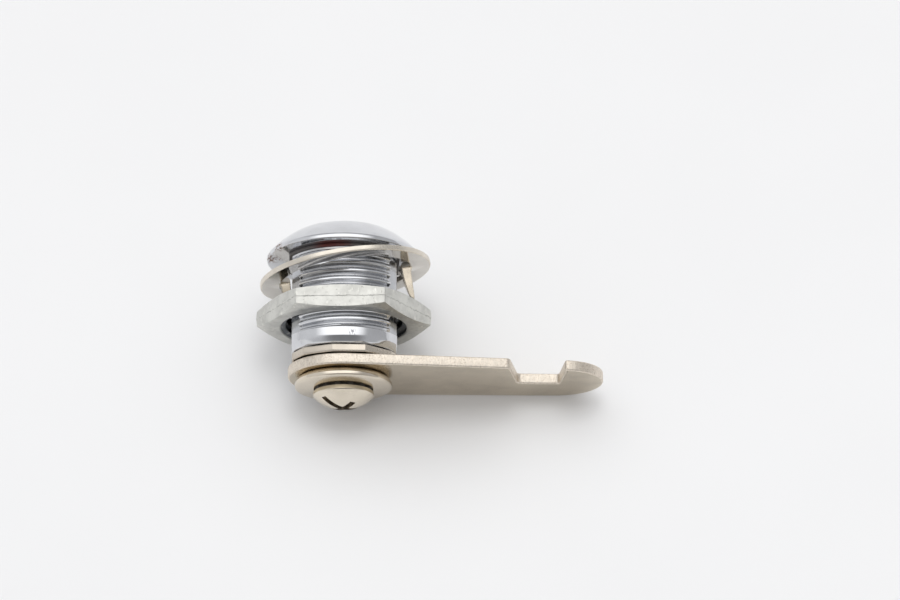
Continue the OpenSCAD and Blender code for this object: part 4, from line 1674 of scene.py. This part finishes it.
@dataclass
class RetainingScrew:
    """The pan-head screw with a long slot and a cross recess."""

    seat: float = 20.95
    head_r: float = 4.65
    head_h: float = 2.55
    rim: float = 0.65
    thread: Thread = Thread(0.8, 2.5, 2.06, 13.45, 20.65, 13.6)
    tip: float = 13.15
    slot_turn: float = 36.0
    slot_reach: float = 4.3
    slot_w: float = 1.05
    slot_h: float = 1.2
    count: int = 96
    # How far a tool stands over the head, and the depth at which the slot begins to narrow
    clear: float = 0.4

    # [depth below the apex, reach, half width] of the cross, from above it to its floor
    CROSS = ((-0.3, 2.9, 0.58), (0.4, 2.5, 0.5), (1.2, 1.6, 0.4), (1.9, 0.8, 0.3))

    def rim_profile(self) -> list[Flat]:
        """Gives the outline of the head's underside and rim.

        Returns:
            Its [radius, station] points from the shank outwards.
        """
        r, y = self.head_r, self.seat
        points = [(self.thread.crest_r + 0.25, y), (r - 0.3, y), (r - 0.1, y + 0.01), (r - 0.05, y + 0.05)]
        return points + [(r - 0.02, y + 0.25), (r - 0.01, y + self.rim - 0.15), (r, y + self.rim - 0.05)]

    def dome_profile(self) -> list[Flat]:
        """Gives the outline of the head's dome.

        Returns:
            Its [radius, station] points from the rim up to near its apex.
        """
        r, y, steps = self.head_r, self.seat, 30
        dome = self.head_h - self.rim
        ball = (r * r + dome * dome) / (2 * dome)
        steep = math.degrees(math.asin(r / ball))
        points = [(r, y + self.rim - 0.05), (r - 0.02, y + self.rim - 0.01)]
        for i in range(steps):
            a = math.radians((steep - 0.6) * (1 - i / steps))
            points.append((ball * math.sin(a), y + self.head_h - ball + ball * math.cos(a)))
        return points

    def turned(self, corners: Sequence[Flat], quarter: int = 0) -> list[Flat]:
        """Turns corners to the slot's angle and on by quarters of a turn."""
        way = 90 * quarter + self.slot_turn
        return [polar(way + math.degrees(math.atan2(v, u)), math.hypot(u, v)) for u, v in corners]

    def slot(self) -> Shell:
        """Builds the tool that cuts the long slot, a little narrower at its floor.

        Returns:
            Its shell.
        """
        apex, wide, reach = self.seat + self.head_h, self.slot_w / 2, self.slot_reach
        made = Shell()
        rows: list[list[int]] = []
        for y, half in ((apex + self.clear, wide), (apex - self.clear, wide), (apex - self.slot_h, wide - 0.06)):
            corners = [(reach, -half), (reach, half), (-reach, half), (-reach, -half)]
            rows.append(made.ring(at_station(self.turned(corners), y)))
        for one, two in zip(rows, rows[1:]):
            made.bridge(one, two, 1)
        for row in (rows[0], rows[-1]):
            made.lid([row], 1)
        return made

    def recess(self) -> Shell:
        """Builds the tool that cuts the tapered cross.

        Returns:
            Its shell.
        """
        apex = self.seat + self.head_h
        made = Shell()
        rows: list[list[int]] = []
        for depth, reach, half in self.CROSS:
            corners: list[Flat] = []
            for k in range(4):
                corners += self.turned([(half * 1.3, -half), (reach, -half), (reach, half), (half * 1.3, half)], k)
            rows.append(made.ring(at_station(corners, apex - depth)))
        for one, two in zip(rows, rows[1:]):
            made.bridge(one, two, 1)
        made.lid([rows[0]], 1)
        made.fan(rows[-1], (0, apex - self.CROSS[-1][0] - 0.25, 0), 1)
        return made

    def build(
        self, finish: bpy.types.Material, slot_shade: bpy.types.Material, rim: bpy.types.Material
    ) -> bpy.types.Object:
        """Builds the head, the recess with its painted shade and the threaded shank.

        Args:
            finish: Finish of the dome.
            slot_shade: Finish of the slot and the cross, painted shade.
            rim: Finish of the rim and the underside, a darker copy of the dome's nickel as painted shade.

        Returns:
            The piece.
        """
        made = Shell()
        angles = [360 * i / self.count for i in range(self.count)]
        thread = self.thread
        start = lathe([(0.6, self.tip), (1.7, self.tip), (thread.root_r, thread.start)], self.count)
        made.fan(made.ring(start[0]), (0, self.tip, 0))
        made.skin(start)

        def cut(_angle: float, radius: float, station: float) -> float:
            """Runs the thread out at both ends of the shank."""
            kept = smooth(station, thread.start, thread.start + 0.5)
            kept *= 1 - smooth(station, thread.end - 0.4, thread.end)
            return thread.root_r + (radius - thread.root_r) * kept

        made.add(thread.shell(angles, cut))
        shank = [(thread.root_r, thread.end), (thread.crest_r - 0.2, self.seat - 0.2), (thread.crest_r, self.seat)]
        made.skin(lathe(shank + self.rim_profile(), self.count), 2)
        rows = made.skin(lathe(self.dome_profile(), self.count))
        made.fan(rows[-1], (0, self.seat + self.head_h, 0))
        finishes = [finish, slot_shade, rim]
        piece = show(made.mesh("retaining_screw", finishes))
        carve(piece, self.slot().mesh("slot", finishes), Cut.AWAY)
        carve(piece, self.recess().mesh("recess", finishes), Cut.AWAY)
        return fit(piece, Body.PLUG, "screw_nickel", "cam_screw")


def dress(nodes: Sequence[str], finish: bpy.types.Material) -> None:
    """Gives solids that keep their own mesh a finish.

    Args:
        nodes: Names of the solids.
        finish: Their material.
    """
    for name in nodes:
        solid = frame["nodes"][name]
        for k in range(len(solid.material_slots)):
            solid.material_slots[k].material = finish
        log.info("%s: dressed as %s", name, finish.name)


# ---------- Studio ----------


@dataclass
class Studio:
    """The floor, the light and the camera."""

    distance: float = 450.0
    per_mm: float = 6.5
    elevation: float = 71.87
    roll: float = -0.37
    spin: float = 3.5
    aim: Point = (0.0, 9.14, 0.0)
    aim_at: Flat = (343.8, 318.8)
    frame_size: Flat = (900.0, 600.0)
    sensor: float = 36.0
    weight_y: float = 13.5
    slope: Flat = (-60.0, 46.0)
    bend: float = 40.0
    # The lamp over the paper: its place and aim and its side, in metres, and its power in watts
    lamp_place: Point = (0.01, -0.13, 0.58)
    lamp_aim: Point = (0.0, 0.01, 0.0)
    lamp_size: float = 0.2
    lamp_power: float = 0.54

    SURROUND = (0.5, 0.502, 0.51)
    BACKDROP = (0.905, 0.905, 0.91)
    # [direction, degrees to its full strength, degrees to its end, colour] of each patch of the surround:
    # a pale side, a dim stretch beyond the screw's end, the white under the paper and the bright overhead
    PATCHES = (
        ((1, -0.1, 0.35), 15, 60, (0.75, 0.755, 0.77)),
        ((0, 0.62, 0.78), 14, 40, (0.25, 0.25, 0.255)),
        ((0, 0.43, -0.9), 84, 90, (0.88, 0.88, 0.88)),
        ((0.09, -0.42, 0.9), 24, 50, (1.56, 1.56, 1.56)),
    )

    def camera(self) -> bpy.types.Object:
        """Stands the camera over the screw's end of the lock, with the head away from it.

        Returns:
            The camera.
        """
        e, r = math.radians(self.elevation), math.radians(self.roll)
        back = Vector((0, math.cos(e), math.sin(e)))
        right = Vector((-1, 0, 0))
        up = Vector((0, -math.sin(e), math.cos(e)))
        across = right * math.cos(r) + up * math.sin(r)
        above = -right * math.sin(r) + up * math.cos(r)
        (u, v), (width, height) = self.aim_at, self.frame_size
        seen = Vector(((u - width / 2) / self.per_mm, -(v - height / 2) / self.per_mm, -self.distance))
        place = Vector(self.aim) - across * seen.x - above * seen.y - back * seen.z
        turn = Matrix.Rotation(math.radians(self.spin), 3, "Y")
        data = bpy.data.cameras.new("camera")
        data.sensor_width = self.sensor
        data.lens = self.per_mm * self.distance * self.sensor / width
        data.clip_start, data.clip_end = 0.01, 20
        camera = bpy.data.objects.new("camera", data)
        bpy.context.scene.collection.objects.link(camera)
        axes = Matrix((turn @ across, turn @ above, turn @ back)).transposed().to_4x4()
        camera.matrix_world = Matrix.Translation(turn @ place * MM) @ axes
        bpy.context.scene.camera = camera
        return camera

    def lamp(self, name: str) -> None:
        """Hangs the square soft lamp, which metal doesn't mirror.

        Args:
            name: Name of the lamp.
        """
        data = bpy.data.lights.new(name, "AREA")
        data.shape = "SQUARE"
        data.size = self.lamp_size
        data.energy = self.lamp_power
        made = bpy.data.objects.new(name, data)
        made.location = self.lamp_place
        made.rotation_mode = "QUATERNION"
        made.rotation_quaternion = (Vector(self.lamp_aim) - Vector(self.lamp_place)).to_track_quat("-Z", "Y")
        made.visible_glossy = False
        bpy.context.scene.collection.objects.link(made)

    def resting(self) -> Flat:
        """Finds the slope of the paper that the lock rests on, between the nut's edge and the cam's.

        Returns:
            The paper's rise for each millimetre along the lock, and its height at the lock's origin.
        """
        turn = Matrix.Rotation(math.radians(-self.spin), 3, "Y")
        points = (turn @ v.co / MM for o in bpy.context.scene.objects if o.type == "MESH" for v in o.data.vertices)
        under: list[Flat] = []
        for y, z in sorted((p.y, p.z) for p in points):
            while len(under) > 1:
                (y0, z0), (y1, z1) = under[-2:]
                if (y1 - y0) * (z - z0) > (z1 - z0) * (y - y0):
                    break
                under.pop()
            under.append((y, z))
        one, two = next((a, b) for a, b in zip(under, under[1:]) if a[0] <= self.weight_y < b[0])
        rise = (two[1] - one[1]) / (two[0] - one[0])
        log.info("paper: the lock rests at %.2f and %.2f mm, slope %.3f", one[0], two[0], rise)
        return rise, one[1] - rise * one[0]

    def floor(self) -> bpy.types.Object:
        """Lays the pale paper: it slopes under the lock and runs level further out.

        Returns:
            The paper.
        """
        rise, height = self.resting()
        low, high = self.slope
        turn = Matrix.Rotation(math.radians(self.spin), 4, "Y")
        shell, rows = Shell(), []
        for y in (-4000, -900, *range(-300, 301, 5), 900, 4000):
            inside = max(low, min(high, y))
            bend = max(-self.bend, min(self.bend, y - inside))
            level = height + rise * (inside + bend - bend * abs(bend) / (2 * self.bend))
            rows.append(shell.ring([(x, y, level) for x in (-4000, -300, 300, 4000)]))
        for one, two in zip(rows, rows[1:]):
            for i in range(3):
                shell.face((one[i], one[i + 1], two[i + 1], two[i]))
        g = Graph("floor_paper")
        tone = g.noise(40, 2)
        material = g.finish(g.blend(g.span(tone, 0.3, 0.7), (0.862, 0.862, 0.866), (0.872, 0.872, 0.876)), 0.75, 0.0)
        g.shader.inputs["Specular IOR Level"].default_value = 0.2
        made = show(shell.place(turn).mesh("floor", [material]), 60)
        return made

    def sky(self) -> None:
        """Sets the soft surround: grey all round, with its patches, and pale where the camera sees it."""
        world = bpy.data.worlds.new("surround")
        bpy.context.scene.world = world
        world.use_nodes = True
        tree = world.node_tree
        nodes, links = tree.nodes, tree.links
        way = nodes.new("ShaderNodeTexCoord").outputs["Generated"]

        def patch(direction: Point, inner: float, outer: float) -> bpy.types.NodeSocket:
            """Marks a round patch of the surround.

            Args:
                direction: Where it lies.
                inner: Degrees from there up to which it is full.
                outer: Degrees from there at which it ends.

            Returns:
                1 inside the patch, falling to 0 at its end.
            """
            dot = nodes.new("ShaderNodeVectorMath")
            dot.operation = "DOT_PRODUCT"
            links.new(way, dot.inputs[0])
            dot.inputs[1].default_value = Vector(direction).normalized()
            made = nodes.new("ShaderNodeMapRange")
            made.interpolation_type = "SMOOTHSTEP"
            links.new(dot.outputs["Value"], made.inputs["Value"])
            made.inputs["From Min"].default_value = math.cos(math.radians(outer))
            made.inputs["From Max"].default_value = math.cos(math.radians(inner))
            return made.outputs[0]

        sky: object = self.SURROUND
        for direction, inner, outer, colour in self.PATCHES:
            sky = mixed(tree, patch(direction, inner, outer), sky, colour)
        seen = nodes.new("ShaderNodeLightPath").outputs["Is Camera Ray"]
        back = nodes["Background"]
        links.new(mixed(tree, seen, sky, self.BACKDROP), back.inputs["Color"])
        back.inputs["Strength"].default_value = 1.0

    def build(self) -> None:
        """Sets up the studio."""
        bpy.context.scene.view_settings.view_transform = "Standard"
        self.camera()
        self.floor()
        self.sky()
        self.lamp("top")


def main() -> None:
    """Builds the lock, piece by piece, and then the studio."""
    logging.basicConfig(level=logging.INFO, format="%(message)s")
    chips = (((11.4, -0.3, 1.4), 2.6), ((10.3, -0.3, 6.0), 1.5))
    # dull=0.5 paints shade into the barrel thread's grooves
    chrome = Chrome("cast_chrome", nicks=chips, scars=(((-1.1, 14.1, 9.2), 0.75),), dull=0.5).material()
    plate = Chrome("pressed_chrome", haze=0.06).material()
    nickel = Nickel("pressed_nickel", (0.79, 0.755, 0.70), 0.08).material()
    satin = Nickel("satin_nickel", (0.63, 0.555, 0.44), 0.17, smear=0.14).material()
    sheared = ShearedEdge("sheared_edge", (0.82, 0.745, 0.645)).material()
    # The prong on the +X side gets a spot of painted shade and dark reflection
    bent = Nickel("bent_nickel", (0.74, 0.66, 0.54), 0.24, shaded_spots=(((9.6, 6.0, -1.0), 4.5),)).material()
    Casting().build(chrome)
    Gasket().build(Matte("seal_rubber", (0.115, 0.105, 0.103), spot=((1.7, 0.3, 9.3), 4.4)).material())
    SpurWasher().build(nickel, Nickel("rolled_edge", (0.74, 0.685, 0.60), 0.3).material(), bent)
    Nut().build(CastZinc("nut_casting").material(), CastZinc("nut_thread", (0.2, 0.21, 0.22), 0.45).material())
    FacePlate().build(plate)
    TurnStop().build(nickel, Nickel("bright_edge", (0.62, 0.56, 0.48), 0.28).material())
    Cam().build(satin, sheared)
    PlainWasher().build(Nickel("washer_nickel", (0.72, 0.65, 0.545), 0.16).material())
    screw = Nickel("screw_nickel", (0.75, 0.68, 0.57), 0.16).material()
    # Painted shade for the screw's slot and cross: near black with brown patches
    slot_shade = Matte("painted_recess_shade", (0.045, 0.032, 0.02), (0.17, 0.125, 0.075), 0.6, 0.42).material()
    # The rim and underside take a darker copy of the screw's nickel: painted shade
    RetainingScrew().build(screw, slot_shade, Nickel("shaded_rim_nickel", (0.6, 0.52, 0.385), 0.4).material())
    # The toothed washer is painted near black: shade under the screw's head, not the steel's own colour
    ToothedWasher().build(PlainMetal("tooth_steel", (0.035, 0.03, 0.024), 0.5, (1, 1, 1), 0.3).material())
    wafers = range(1, 7)
    springs = ["shutter_spring"] + [f"wafer_spring_{i}" for i in wafers]
    dress(["key_plug"], PlainMetal("plug_casting", (0.62, 0.62, 0.61), 0.3, (1, 0.2, 1)).material())
    dress(["dust_shutter", "shutter_pin"], PlainMetal("shutter_steel", (0.6, 0.59, 0.57)).material())
    dress([f"wafer_{i}" for i in wafers], PlainMetal("wafer_brass", (0.78, 0.57, 0.25), 0.25).material())
    dress(springs, PlainMetal("spring_steel", (0.55, 0.54, 0.52), 0.22, (1, 1, 1)).material())
    Studio().build()


if __name__ == "__main__":
    main()
